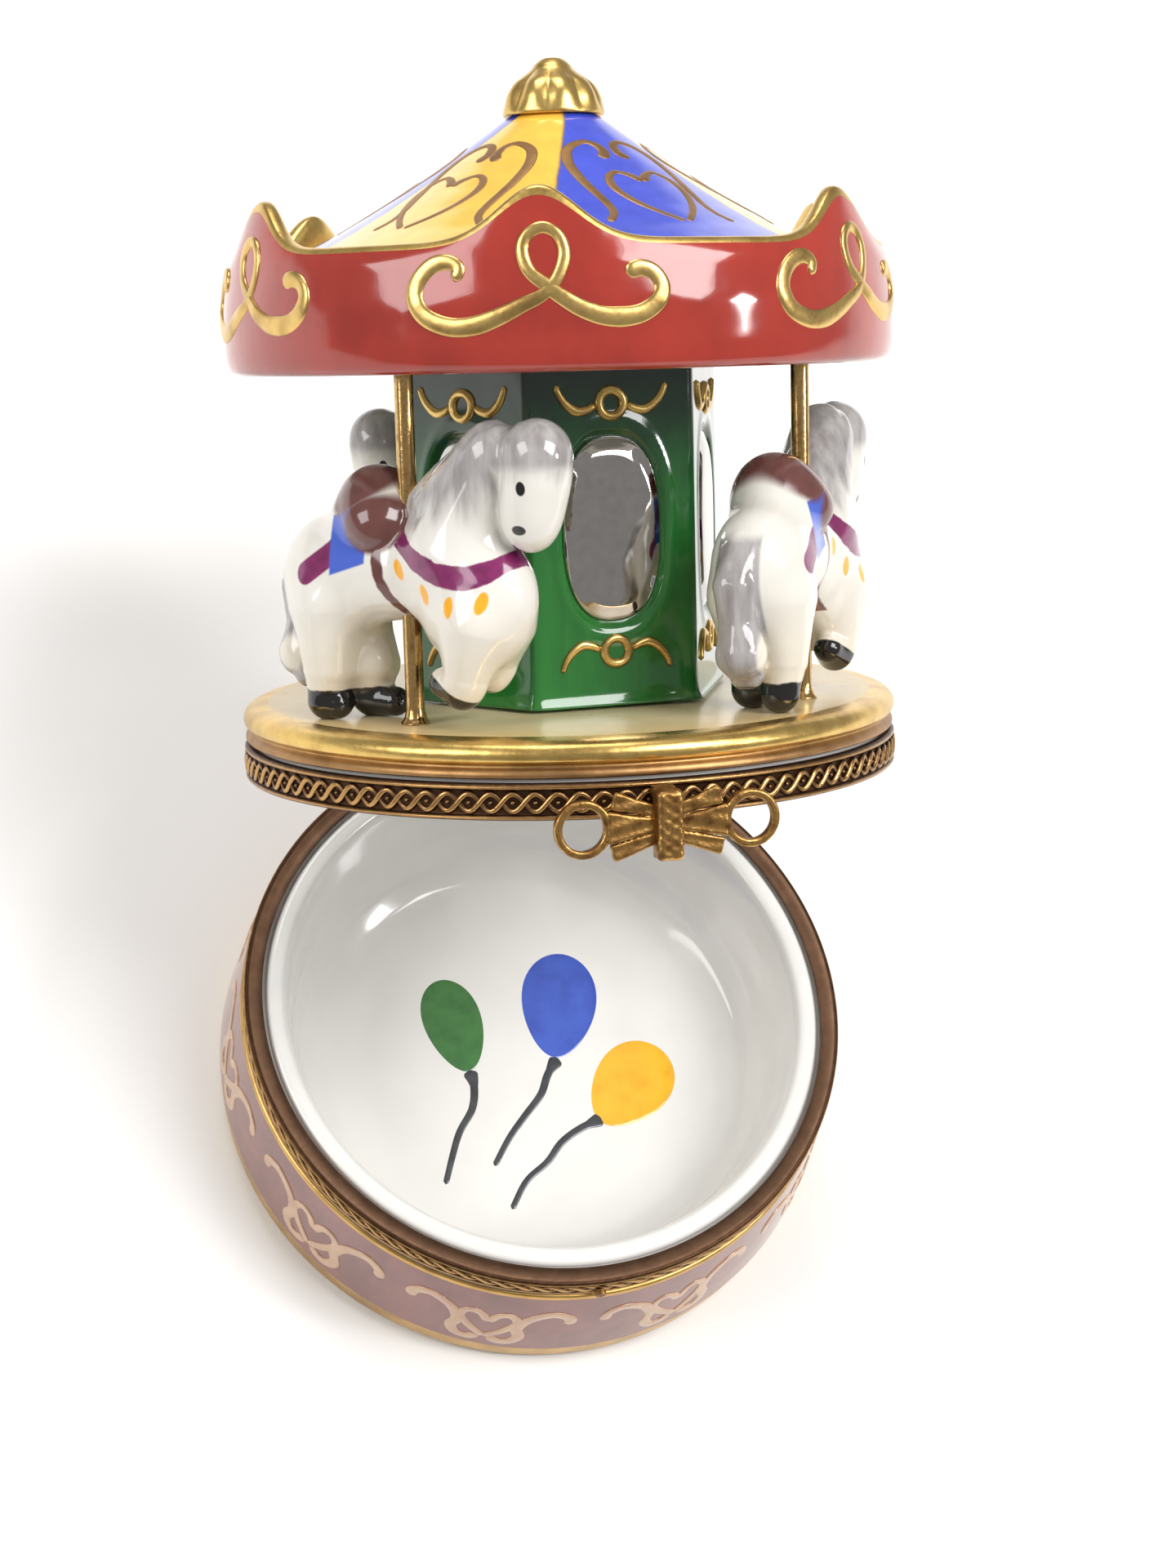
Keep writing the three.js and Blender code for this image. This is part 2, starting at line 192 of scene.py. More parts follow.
def turned(profile, segments=192, warp=None):
    """A body of revolution about Z from [radius, height, ...] rows; warp(rows, angle) bends them."""
    turns = np.arange(segments) * 2 * math.pi / segments
    points = []
    for turn in turns:
        rows = warp(profile, turn) if warp else profile
        points.append(np.stack([rows[:, 0] * np.sin(turn), -rows[:, 0] * np.cos(turn), rows[:, 1]], 1))
    return np.concatenate(points), grid_faces(segments, len(profile), wrap_rows=True)


def flowing(points, step):
    """A smooth line through hand-set points, at an even step."""
    p = np.array(points, float)
    p = np.vstack([2 * p[0] - p[1], p, 2 * p[-1] - p[-2]])
    fine = []
    for i in range(1, len(p) - 2):
        for t in np.linspace(0, 1, 12, endpoint=False):
            fine.append(
                0.5 * (2 * p[i] + (p[i + 1] - p[i - 1]) * t
                       + (2 * p[i - 1] - 5 * p[i] + 4 * p[i + 1] - p[i + 2]) * t * t
                       + (3 * p[i] - p[i - 1] - 3 * p[i + 1] + p[i + 2]) * t ** 3)
            )
    fine = np.array(fine + [p[-2]])
    along = np.concatenate([[0], np.cumsum(np.linalg.norm(np.diff(fine, axis=0), axis=1))])
    even = np.linspace(0, along[-1], max(4, int(along[-1] / step)))
    return np.stack([np.interp(even, along, fine[:, k]) for k in range(p.shape[1])], 1)


def bead(path, normals, half_width, height, closed=False, sink=0.25, sides=7):
    """A half-round raised line that lies on a surface, along a path with the surface's normals."""
    path, normals = np.asarray(path, float), np.asarray(normals, float)
    if closed:
        ahead = np.roll(path, -1, 0) - np.roll(path, 1, 0)
    else:
        ahead = np.gradient(path, axis=0)
    ahead /= np.linalg.norm(ahead, axis=1)[:, None]
    across = np.cross(normals, ahead)
    across /= np.linalg.norm(across, axis=1)[:, None]
    along = np.concatenate([[0], np.cumsum(np.linalg.norm(np.diff(path, axis=0), axis=1))])
    widths = np.full(len(path), float(half_width)) if np.isscalar(half_width) else np.asarray(half_width)
    share = np.ones(len(path))
    if not closed:
        near_end = np.minimum(along, along[-1] - along) / widths
        share = np.sqrt(np.clip(1 - (1 - np.clip(near_end, 0, 1)) ** 2, 0.02, 1))
    rows = []
    for k in range(sides + 1):
        turn = math.pi * k / sides
        rise = normals * (height * math.sin(turn)) * share[:, None]
        rows.append(path + across * (widths * share * math.cos(turn))[:, None] + rise)
    rows.append(path - across * (widths * share)[:, None] - normals * sink)
    rows.append(path + across * (widths * share)[:, None] - normals * sink)
    points = np.stack(rows, 1).reshape(-1, 3)
    count, ring = len(path), len(rows)
    faces = grid_faces(count, ring, wrap_rows=closed, wrap_columns=True)
    if not closed:
        faces += [tuple(range(ring)), tuple(reversed(range((count - 1) * ring, count * ring)))]
    return points, faces


# ---- Distance fields, for the sculpted pieces ----
def blend(a, b, k):
    """The union of two distance fields with a soft join k wide."""
    h = np.maximum(k - np.abs(a - b), 0) / k
    return np.minimum(a, b) - h * h * k / 4


def blob(p, centre, radii):
    """An ellipsoid."""
    q = p - np.array(centre, float)
    radii = np.array(radii, float)
    near = np.linalg.norm(q / radii, axis=-1)
    far = np.linalg.norm(q / radii ** 2, axis=-1)
    return near * (near - 1) / np.maximum(far, 1e-9)


def limb(p, *stations):
    """A rounded tube through (centre, radius) stations."""
    best = None
    for (a, ra), (b, rb) in zip(stations, stations[1:]):
        a, b = np.array(a, float), np.array(b, float)
        t = np.clip(((p - a) @ (b - a)) / ((b - a) @ (b - a)), 0, 1)
        d = np.linalg.norm(p - a - t[..., None] * (b - a), axis=-1) - (ra + (rb - ra) * t)
        best = d if best is None else np.minimum(best, d)
    return best


def sculpted(field, low, high, cell):
    """The zero surface of a distance field as a closed quad mesh, by surface nets."""
    low = np.array(low, float)
    axes = [np.arange(a, b + cell, cell) for a, b in zip(low, high)]
    d = field(np.stack(np.meshgrid(*axes, indexing="ij"), -1))
    size = np.array(d.shape) - 1
    corners = [np.array((i, j, k)) for i in (0, 1) for j in (0, 1) for k in (0, 1)]

    def at(values, c):
        return values[c[0]:c[0] + size[0], c[1]:c[1] + size[1], c[2]:c[2] + size[2]]

    filled = sum(at(d < 0, c).astype(int) for c in corners)
    active = (filled > 0) & (filled < 8)
    index = np.full(size, -1)
    index[active] = np.arange(active.sum())
    total, hits = np.zeros((active.sum(), 3)), np.zeros(active.sum())
    for a in corners:
        for axis in range(3):
            if a[axis]:
                continue
            b = a + np.eye(3, dtype=int)[axis]
            da, db = at(d, a)[active], at(d, b)[active]
            crosses = (da < 0) != (db < 0)
            t = np.where(crosses, da / np.where(da == db, 1, da - db), 0)
            total += (a + t[:, None] * (b - a)) * crosses[:, None]
            hits += crosses
    points = low + (np.argwhere(active) + total / hits[:, None]) * cell
    faces = []
    for axis in range(3):
        step = np.eye(3, dtype=int)
        u, v = step[(axis + 1) % 3], step[(axis + 2) % 3]
        first = d[tuple(slice(0, size[k]) for k in range(3))]
        second = at(d, step[axis])
        for inside_first in (True, False):
            edge = (first < 0) & (second >= 0) if inside_first else (first >= 0) & (second < 0)
            where = np.argwhere(edge)
            where = where[(where @ u > 0) & (where @ v > 0)]
            quad = [index[tuple((where - o).T)] for o in (0 * u, u, u + v, v)]
            quad = np.stack(quad if inside_first else quad[::-1], 1)
            faces.extend(map(tuple, quad[(quad >= 0).all(1)].tolist()))
    nudge = 0.25 * cell
    for _ in range(2):
        here = field(points)
        slope = np.stack([field(points + nudge * e) - here for e in np.eye(3)], 1) / nudge
        steep = np.maximum((slope ** 2).sum(1), 0.2)
        points = points - np.clip(here / steep, -cell, cell)[:, None] * slope
    return points, faces


# ---- Materials ----
def srgb(red, green, blue):
    """A colour from 0 to 255, all brighter than 10, as the shader's linear values."""
    return tuple(((c / 255 + 0.055) / 1.055) ** 2.4 for c in (red, green, blue)) + (1,)


WHITE = srgb(236, 234, 229)
GOLD = srgb(222, 188, 112)
WORN_GOLD = srgb(168, 128, 66)


class Paint:
    """A material's nodes. Positions are in millimetres in the piece's own frame."""

    def __init__(self, name, roughness=0.12, metallic=0.0, coat=0.0, coat_roughness=0.03, ior=1.5):
        self.material = bpy.data.materials.new(name)
        self.material.use_nodes = True
        self.nodes = self.material.node_tree.nodes
        self.links = self.material.node_tree.links
        self.shader = self.nodes["Principled BSDF"]
        self.shader.inputs["Roughness"].default_value = roughness
        self.shader.inputs["Metallic"].default_value = metallic
        self.shader.inputs["Coat Weight"].default_value = coat
        self.shader.inputs["Coat Roughness"].default_value = coat_roughness
        self.shader.inputs["IOR"].default_value = ior
        spot = self.nodes.new("ShaderNodeTexCoord").outputs["Object"]
        self.place = self.vector("SCALE", spot, scale=1 / MM)
        split = self.nodes.new("ShaderNodeSeparateXYZ")
        self.links.new(self.place, split.inputs[0])
        self.x, self.y, self.z = split.outputs

    def put(self, socket, value):
        """Links a socket to a value, or sets it."""
        if isinstance(value, bpy.types.NodeSocket):
            self.links.new(value, socket)
        else:
            socket.default_value = value

    def vector(self, operation, a, b=None, scale=None):
        node = self.nodes.new("ShaderNodeVectorMath")
        node.operation = operation
        self.put(node.inputs[0], a)
        if b is not None:
            self.put(node.inputs[1], b)
        if scale is not None:
            self.put(node.inputs["Scale"], scale)
        return node.outputs["Value" if operation == "LENGTH" else "Vector"]

    def math(self, operation, a, b=0.0, c=0.0):
        node = self.nodes.new("ShaderNodeMath")
        node.operation = operation
        for socket, value in zip(node.inputs, (a, b, c)):
            self.put(socket, value)
        return node.outputs[0]

    def add(self, a, b):
        return self.math("ADD", a, b)

    def times(self, a, b):
        return self.math("MULTIPLY", a, b)

    def scaled(self, a, factor, b):
        """A value times a factor, plus another."""
        return self.math("MULTIPLY_ADD", a, factor, b)

    def inverse(self, mask):
        return self.math("SUBTRACT", 1.0, mask)

    def either(self, *masks):
        return functools.reduce(lambda a, b: self.math("MAXIMUM", a, b), masks)

    def both(self, *masks):
        return functools.reduce(lambda a, b: self.math("MINIMUM", a, b), masks)

    def above(self, value, level, soft=0.1):
        """1 where value is over level, 0 where it is under, with a soft edge."""
        node = self.nodes.new("ShaderNodeMapRange")
        node.interpolation_type = "SMOOTHSTEP"
        self.put(node.inputs["Value"], value)
        self.put(node.inputs["From Min"], self.add(level, -soft))
        self.put(node.inputs["From Max"], self.add(level, soft))
        return node.outputs[0]

    def below(self, value, level, soft=0.1):
        return self.inverse(self.above(value, level, soft))

    def within(self, value, reach, soft=0.1):
        """1 where value is nearer to 0 than reach."""
        return self.below(self.math("ABSOLUTE", value), reach, soft)

    def radius(self):
        """Distance from the piece's Z axis."""
        return self.vector("LENGTH", self.vector("MULTIPLY", self.place, (1.0, 1.0, 0.0)))

    def noise(self, scale, detail=2.0, stretch=None):
        """Noise from 0 to 1; scale is in features per millimetre."""
        spot = self.vector("MULTIPLY", self.place, stretch) if stretch else self.place
        node = self.nodes.new("ShaderNodeTexNoise")
        self.put(node.inputs["Vector"], spot)
        node.inputs["Scale"].default_value = scale
        node.inputs["Detail"].default_value = detail
        return node.outputs[0]

    def mix(self, share, a, b):
        node = self.nodes.new("ShaderNodeMix")
        node.data_type = "RGBA"
        self.put(node.inputs[0], share)
        self.put(node.inputs[6], a)
        self.put(node.inputs[7], b)
        return node.outputs[2]

    def ellipsoid(self, centre, radii, soft=0.08):
        """1 inside an ellipsoid."""
        moved = self.vector("SUBTRACT", self.place, centre)
        scaled = self.vector("DIVIDE", moved, radii)
        return self.below(self.vector("LENGTH", scaled), 1.0, soft)

    def colour(self, value):
        self.put(self.shader.inputs["Base Color"], value)

    def rough(self, value, low, high):
        """Roughness from low to high with a value from 0 to 1."""
        self.put(self.shader.inputs["Roughness"], self.scaled(value, high - low, low))

    def bump(self, height, depth):
        """Bump of a height from 0 to 1; depth is in millimetres."""
        node = self.nodes.new("ShaderNodeBump")
        node.inputs["Strength"].default_value = 1.0
        node.inputs["Distance"].default_value = depth * MM
        self.put(node.inputs["Height"], height)
        self.put(self.shader.inputs["Normal"], node.outputs[0])


def glaze(name, colour, pooling_and_shade, patch=0.12, roughness=0.09):
    """A painted glaze, thicker and darker in patches, with the faint waves of its surface."""
    paint = Paint(name, coat=0.5, coat_roughness=0.02)
    thick = paint.above(paint.noise(patch, 3.0), 0.55, 0.22)
    strokes = paint.noise(0.9, 4.0, stretch=(1.0, 1.0, 0.25))
    share = paint.scaled(strokes, 0.35, paint.times(thick, 0.6))
    paint.colour(paint.mix(share, colour, pooling_and_shade))
    paint.rough(strokes, roughness, roughness + 0.05)
    paint.bump(paint.noise(0.35, 1.0), 0.05)
    return paint.material


def gilding(name, colour=GOLD, worn=WORN_GOLD, low=0.22, high=0.38):
    """Burnished gold on glaze: brush-marked, browner where it is thin."""
    paint = Paint(name, metallic=1.0)
    thin = paint.above(paint.noise(0.35, 4.0), 0.56, 0.2)
    paint.colour(paint.mix(paint.times(thin, 0.6), colour, worn))
    marks = paint.noise(3.0, 3.0)
    paint.rough(marks, low, high)
    paint.bump(paint.noise(0.7, 2.0), 0.04)
    return paint.material


def aged_brass(name, bright, dark, grain=2.2, wear=0.5, depth=0.05, low=0.24, high=0.5):
    """Cast brass with a dark patina that is rubbed bright in places."""
    paint = Paint(name, metallic=1.0)
    patina = paint.above(paint.noise(0.8, 5.0), wear, 0.2)
    specks = paint.above(paint.noise(grain * 2.5, 2.0), 0.6, 0.12)
    paint.colour(paint.mix(paint.either(patina, paint.times(specks, 0.6)), bright, dark))
    paint.rough(patina, low, high)
    paint.bump(paint.noise(grain, 4.0), depth)
    return paint.material


def relief_brass():
    """The bezels' brass: dark in the hollows of the relief and rubbed bright on its crests."""
    paint = Paint("bezel_brass", metallic=1.0)
    radius = paint.radius()
    wear = paint.times(paint.noise(1.5, 3.0), 0.1)
    crest = paint.above(paint.add(radius, wear), BEZEL_R - 0.04, 0.1)
    dull = paint.mix(paint.noise(1.2, 4.0), srgb(44, 30, 22), srgb(86, 60, 42))
    relief = paint.mix(crest, dull, srgb(186, 144, 92))
    rubbed = paint.mix(paint.noise(0.7, 4.0), srgb(150, 116, 92), srgb(104, 78, 62))
    paint.colour(paint.mix(paint.below(radius, BEZEL_R - 0.5, 0.1), relief, rubbed))
    paint.rough(paint.inverse(crest), 0.26, 0.46)
    paint.bump(paint.noise(2.5, 3.0), 0.03)
    return paint.material


def mirror_glass():
    """Silvered glass with a faint haze of dust and tiny scratches."""
    paint = Paint("mirror_silver", metallic=1.0)
    haze = paint.noise(1.1, 5.0)
    paint.colour(paint.mix(haze, srgb(176, 172, 170), srgb(206, 203, 200)))
    paint.rough(haze, 0.02, 0.07)
    paint.bump(paint.noise(0.2, 1.0), 0.01)
    return paint.material


def porcelain():
    """White glazed porcelain, faintly uneven."""
    paint = Paint("porcelain_white", coat=0.4, coat_roughness=0.02)
    paint.colour(paint.mix(paint.noise(0.15, 3.0), WHITE, srgb(222, 221, 218)))
    paint.rough(paint.noise(0.6, 2.0), 0.1, 0.17)
    paint.bump(paint.noise(0.3, 1.0), 0.04)
    return paint.material


def floor_paint():
    """The carousel's floor: cream glaze brushed round it, golden towards the rim."""
    paint = Paint("platform_cream", coat=0.15, coat_roughness=0.1)
    wave = paint.times(paint.noise(0.2, 2.0), 4.0)
    edge = paint.above(paint.add(paint.radius(), wave), 26.5, 4.5)
    cream = paint.mix(paint.noise(0.5, 4.0), srgb(232, 216, 180), srgb(216, 194, 148))
    paint.colour(paint.mix(paint.times(edge, 0.6), cream, srgb(208, 172, 98)))
    paint.rough(paint.noise(0.8, 3.0), 0.24, 0.36)
    paint.bump(paint.noise(0.4, 2.0), 0.03)
    return paint.material


def roof_panels():
    """Yellow and blue panels by turns, parted by hand-drawn seams that swing aside near the knob."""
    paint = Paint("roof_panels", coat=0.5, coat_roughness=0.02)
    radius = paint.radius()
    turn = paint.math("ARCTAN2", paint.x, paint.times(paint.y, -1.0))
    swing = paint.math("EXPONENT", paint.scaled(radius, -0.2, 1.0))
    seam = paint.scaled(swing, math.radians(12), math.radians(SEAM_TURN))
    across = paint.math("SINE", paint.times(paint.math("SUBTRACT", turn, seam), SIDES / 2))
    from_seam = paint.times(paint.times(across, radius), 2 / SIDES)
    from_seam = paint.add(from_seam, paint.times(paint.add(paint.noise(0.6, 2.0), -0.5), 0.25))
    strokes = paint.noise(0.5, 3.0)
    yellow = paint.mix(strokes, srgb(250, 200, 78), srgb(232, 170, 62))
    blue = paint.mix(strokes, srgb(72, 90, 212), srgb(48, 62, 176))
    panels = paint.mix(paint.above(from_seam, 0.0, 0.06), yellow, blue)
    line = paint.within(from_seam, 0.16)
    paint.colour(paint.mix(paint.times(line, 0.55), panels, srgb(110, 92, 70)))
    paint.rough(strokes, 0.12, 0.2)
    paint.bump(paint.noise(0.35, 1.0), 0.05)
    return paint.material


def column_green():
    """The column's green glaze, with painted shade that darkens it almost to black towards the top, under the
    roof.
    """
    paint = Paint("column_green", coat=0.6, coat_roughness=0.02)
    height = paint.add(paint.z, paint.times(paint.noise(0.3, 3.0), 7.0))
    streaks = paint.noise(0.7, 4.0, stretch=(1.0, 1.0, 0.12))
    leaf = paint.mix(streaks, srgb(52, 134, 54), srgb(24, 92, 42))
    # painted shade: the green turns almost black towards the top, under the roof's overhang
    paint.colour(paint.mix(paint.above(height, 31.0, 10.0), leaf, srgb(14, 38, 30)))
    paint.rough(streaks, 0.07, 0.13)
    paint.bump(paint.noise(0.3, 1.0), 0.06)
    return paint.material


def horse_paint():
    """A white glazed horse with its painted mane, tail, saddle, straps and hooves."""
    paint = Paint("horse_glaze", coat=0.5, coat_roughness=0.02)
    x, z = paint.x, paint.z
    side = paint.math("ABSOLUTE", paint.y)
    wobble = paint.times(paint.add(paint.noise(0.8, 2.0), -0.5), 0.5)

    white = paint.mix(paint.noise(0.2, 3.0), srgb(236, 233, 227), srgb(222, 217, 207))
    # painted shade: a darker, warmer cream over the lower body and legs
    pooling_and_shade = paint.below(paint.add(z, paint.times(paint.noise(0.25, 2.0), 6.0)), 10.0, 5.0)
    white = paint.mix(paint.times(pooling_and_shade, 0.6), white, srgb(224, 212, 186))
    streaks = paint.noise(0.8, 3.0, stretch=(1.0, 1.0, 0.2))
    hair = paint.mix(paint.above(streaks, 0.5, 0.3), srgb(182, 178, 176), srgb(138, 132, 132))
    crest = paint.scaled(x, -0.18, z)
    mane = paint.above(paint.scaled(streaks, 4.0, crest), 19.2, 2.2)
    mane = paint.both(mane, paint.above(x, 2.6, 0.4))
    brow = paint.above(paint.scaled(streaks, 3.0, z), 23.4, 1.8)
    brow = paint.both(brow, paint.above(x, 11.6, 0.5))
    face = paint.both(paint.above(x, 11.8, 0.4), paint.below(z, 21.6, 0.8))
    tail = paint.both(
        paint.below(x, -9.9, 0.35),
        paint.below(z, 15.2, 0.5),
        paint.within(paint.add(paint.y, -0.5), 1.95, 0.15),
        paint.above(paint.scaled(x, -0.6, z), 8.9, 0.3),
    )
    grey = paint.either(paint.both(mane, paint.inverse(face)), brow, tail)
    coat = paint.mix(grey, white, hair)

    shifted = paint.add(x, -9.3)
    rise = paint.times(paint.times(shifted, shifted), 0.063)
    front = paint.math("MAXIMUM", shifted, 0.0)
    line = paint.add(paint.add(rise, paint.times(paint.times(front, front), 0.07)), 12.9)
    fall = paint.math("SUBTRACT", paint.add(z, wobble), line)
    neck = paint.both(paint.above(x, 1.8), paint.below(paint.scaled(x, 0.9, z), 27.2))
    collar = paint.both(paint.within(fall, 1.0), neck)
    purple = paint.mix(paint.noise(0.9, 3.0), srgb(150, 48, 112), srgb(86, 26, 62))
    apart = 2.85
    step = paint.math("WRAP", paint.add(x, -2.5), apart / 2, -apart / 2)
    spot_x = paint.math("DIVIDE", step, 0.5)
    spot_z = paint.math("DIVIDE", paint.add(fall, 2.45), 0.85)
    spot = paint.add(paint.times(spot_x, spot_x), paint.times(spot_z, spot_z))
    chest = paint.both(paint.above(x, 1.2), paint.below(x, 12.2))
    dots = paint.both(paint.below(spot, 1.0, 0.25), chest, paint.above(side, 0.4, 0.1), neck)

    strap = rounded_bar(paint, (-3.8, 15.0), (-7.0, 12.9), 1.0)
    saddle = paint.either(
        paint.ellipsoid((-2.4, 0, 19.2), (3.4, 4.4, 3.4)),
        paint.ellipsoid((-0.4, 0, 17.0), (3.2, 6.0, 3.0)),
    )
    seat = paint.both(saddle, paint.below(x, 3.2, 0.15))
    drop = paint.scaled(z, -1.0, 14.6)
    bend = paint.scaled(paint.times(drop, drop), 0.075, 0.2)
    girth = paint.both(
        paint.within(paint.add(paint.math("SUBTRACT", x, bend), wobble), 0.5),
        paint.below(z, 15.8),
        paint.above(z, 7.5),
    )
    blanket = paint.both(
        paint.within(paint.add(x, 2.7), 1.75, 0.12),
        paint.within(paint.scaled(x, -0.3, paint.add(z, -16.6)), 2.5, 0.12),
    )
    leather = paint.mix(paint.noise(0.5, 3.0), srgb(122, 76, 70), srgb(82, 46, 44))
    hoof_hind = paint.both(paint.below(paint.add(z, wobble), 2.7), paint.below(x, 0.0))
    hoof_fore = paint.both(paint.below(paint.scaled(x, 0.57, z), 7.6), paint.above(x, 2.0))
    eye = paint.ellipsoid((14.75, 0, 20.2), (0.42, 99.0, 0.58), 0.12)
    nostril = paint.ellipsoid((14.1, 0, 16.8), (0.62, 99.0, 0.4), 0.15)
    nostril = paint.both(nostril, paint.above(side, 0.8, 0.1))
    mouth = rounded_bar(paint, (11.6, 16.6), (12.5, 14.9), 0.13, 0.06)
    black = paint.either(hoof_hind, hoof_fore, eye, nostril, paint.both(mouth, paint.above(x, 11.2)))

    for mask, tint in (
        (collar, purple),
        (dots, srgb(244, 172, 40)),
        (strap, purple),
        (blanket, srgb(72, 100, 200)),
        (girth, leather),
        (seat, leather),
        (black, srgb(22, 20, 21)),
    ):
        coat = paint.mix(mask, coat, tint)
    paint.colour(coat)
    paint.rough(paint.noise(0.7, 2.0), 0.09, 0.16)
    strands = paint.times(paint.times(grey, streaks), 0.5)
    paint.bump(paint.scaled(paint.noise(0.35, 1.0), 0.7, strands), 0.08)
    return paint.material


def rounded_bar(paint, start, end, radius, soft=0.1):
    """1 within radius of a line from start to end, seen from the horse's side."""
    run = np.array(end) - np.array(start)
    dx, dz = paint.add(paint.x, -start[0]), paint.add(paint.z, -start[1])
    along = paint.add(paint.times(dx, run[0] / (run @ run)), paint.times(dz, run[1] / (run @ run)))
    along = paint.math("MINIMUM", paint.math("MAXIMUM", along, 0.0), 1.0)
    off_x = paint.math("SUBTRACT", dx, paint.times(along, run[0]))
    off_z = paint.math("SUBTRACT", dz, paint.times(along, run[1]))
    squared = paint.add(paint.times(off_x, off_x), paint.times(off_z, off_z))
    return paint.below(paint.math("SQRT", squared), radius, soft)


PORCELAIN = porcelain()
RED = glaze("valance_red", srgb(170, 54, 42), srgb(136, 40, 32))
ROOF = roof_panels()
MAUVE = glaze("bowl_mauve", srgb(144, 88, 82), srgb(104, 60, 52), patch=0.16)
CREAM = floor_paint()
GREEN = column_green()
GILT = gilding("gilt_bright")
RAISED_GILT = gilding("gilt_raised", srgb(224, 190, 118), srgb(140, 102, 56))
PAINTED_GILT = gilding("gilt_painted", srgb(172, 132, 88), srgb(122, 90, 56), 0.35, 0.5)
PALE_GILT = gilding("gilt_pale", srgb(206, 166, 100), srgb(150, 108, 60), 0.25, 0.42)
PALE_PAINT = glaze("bowl_scroll_paint", srgb(206, 170, 134), srgb(176, 128, 104), patch=0.3, roughness=0.2)
POLE_BRIGHT, POLE_DARK = srgb(206, 170, 112), srgb(150, 112, 66)
BRASS = aged_brass("pole_brass", POLE_BRIGHT, POLE_DARK, wear=0.6, depth=0.02, low=0.16, high=0.3)
CAST_BRASS = aged_brass("clasp_brass", srgb(196, 152, 88), srgb(104, 72, 40))
HINGE_BRASS = aged_brass("hinge_brass", srgb(160, 122, 74), srgb(96, 66, 40), wear=0.45)
RELIEF_BRASS = relief_brass()
SILVER = mirror_glass()
HORSE = horse_paint()
BALLOON_PAINTS = {
    "green": glaze("balloon_green", srgb(66, 124, 62), srgb(44, 96, 48), patch=0.4),
    "blue": glaze("balloon_blue", srgb(66, 96, 196), srgb(50, 74, 168), patch=0.4),
    "yellow": glaze("balloon_yellow", srgb(240, 186, 48), srgb(222, 160, 36), patch=0.4),
}
INK = glaze("painted_ink", srgb(44, 46, 52), srgb(74, 76, 80), patch=0.5, roughness=0.2)


# ---- Box ----
def bowl():
    """The porcelain bowl: mauve outside between two gold lines, white inside."""
    shoulder = RIM_Z - 3
    lip = BEZEL_LIP_R - 0.4
    gold_low, gold_high = 3.6, shoulder - 0.5

    def wall(z):
        t = (z - 1.6) / (shoulder - 1.6)
        return [FOOT_R - 1.5 * max(t, 0) ** 1.3, z]

    heights = [gold_low, 3.5, 6, 8.5, 11, 13, gold_high, shoulder]
    outside = [[0, 0.6], [FOOT_R - 5, 0.6], [FOOT_R - 4.6, 0], [FOOT_R - 1.4, 0], [FOOT_R - 0.4, 0.5]]
    inside = [
        [SEAT_R, shoulder], [SEAT_R, RIM_Z - 1.2], [lip, RIM_Z - 1.2], [lip, RIM_Z - 0.7],
        [lip - 0.4, RIM_Z - 0.35], [lip - 1.6, RIM_Z - 0.4], [lip - 2.1, RIM_Z - 1.2], [24.9, 12],
        [24.4, 7.6], [23.2, 4.8], [20.6, 3.1], [17, BOWL_FLOOR], [10, BOWL_FLOOR], [0, BOWL_FLOOR],
    ]
    profile = filleted(outside + [wall(z) for z in heights] + inside, 0.8)
    shape = turned(densified(profile, 1.2))

    def paint(centres):
        radius, z = np.hypot(centres[:, 0], centres[:, 1]), centres[:, 2]
        outer = (radius > FOOT_R - 2.6) & (z < shoulder - 0.02)
        return np.select([outer & (z > gold_low) & (z < gold_high), outer & (z > 0.3)], [1, 2], 0)

    piece("bowl", shape, [PORCELAIN, MAUVE, PALE_GILT], BOX, "base", ["base_bowl"], paint)

    def on_wall(turn, z):
        radius = np.array([wall(h)[0] for h in z])
        out = outward(turn)
        return out * radius[:, None] + np.outer(z, UP), out

    motifs = 10
    curl = [
        (0.6, 5.6), (1.3, 4.8), (2.6, 4.9), (3.4, 6.2), (3.0, 7.9), (4.0, 9.9), (6.2, 11.0),
        (7.9, 10.3), (8.1, 9.0),
    ]
    heart = [(0, 8.6), (-0.9, 10.0), (-2.2, 10.2), (-2.9, 9.0), (-1.9, 7.3), (0, 5.4)]
    lines = []
    drawings = (flowing(curl, 0.3), 0.62), (flowing(heart, 0.3), 0.5)
    for motif in range(motifs):
        centre = 2 * math.pi * (motif + 0.5) / motifs
        for hand in (-1, 1):
            for path, width in drawings:
                turn = centre + hand * path[:, 0] / FOOT_R
                points, normals = on_wall(turn, path[:, 1])
                lines.append(bead(points, normals, width, 0.1))
    piece("bowl_scrolls", merged(lines), PALE_PAINT, BOX, "base")


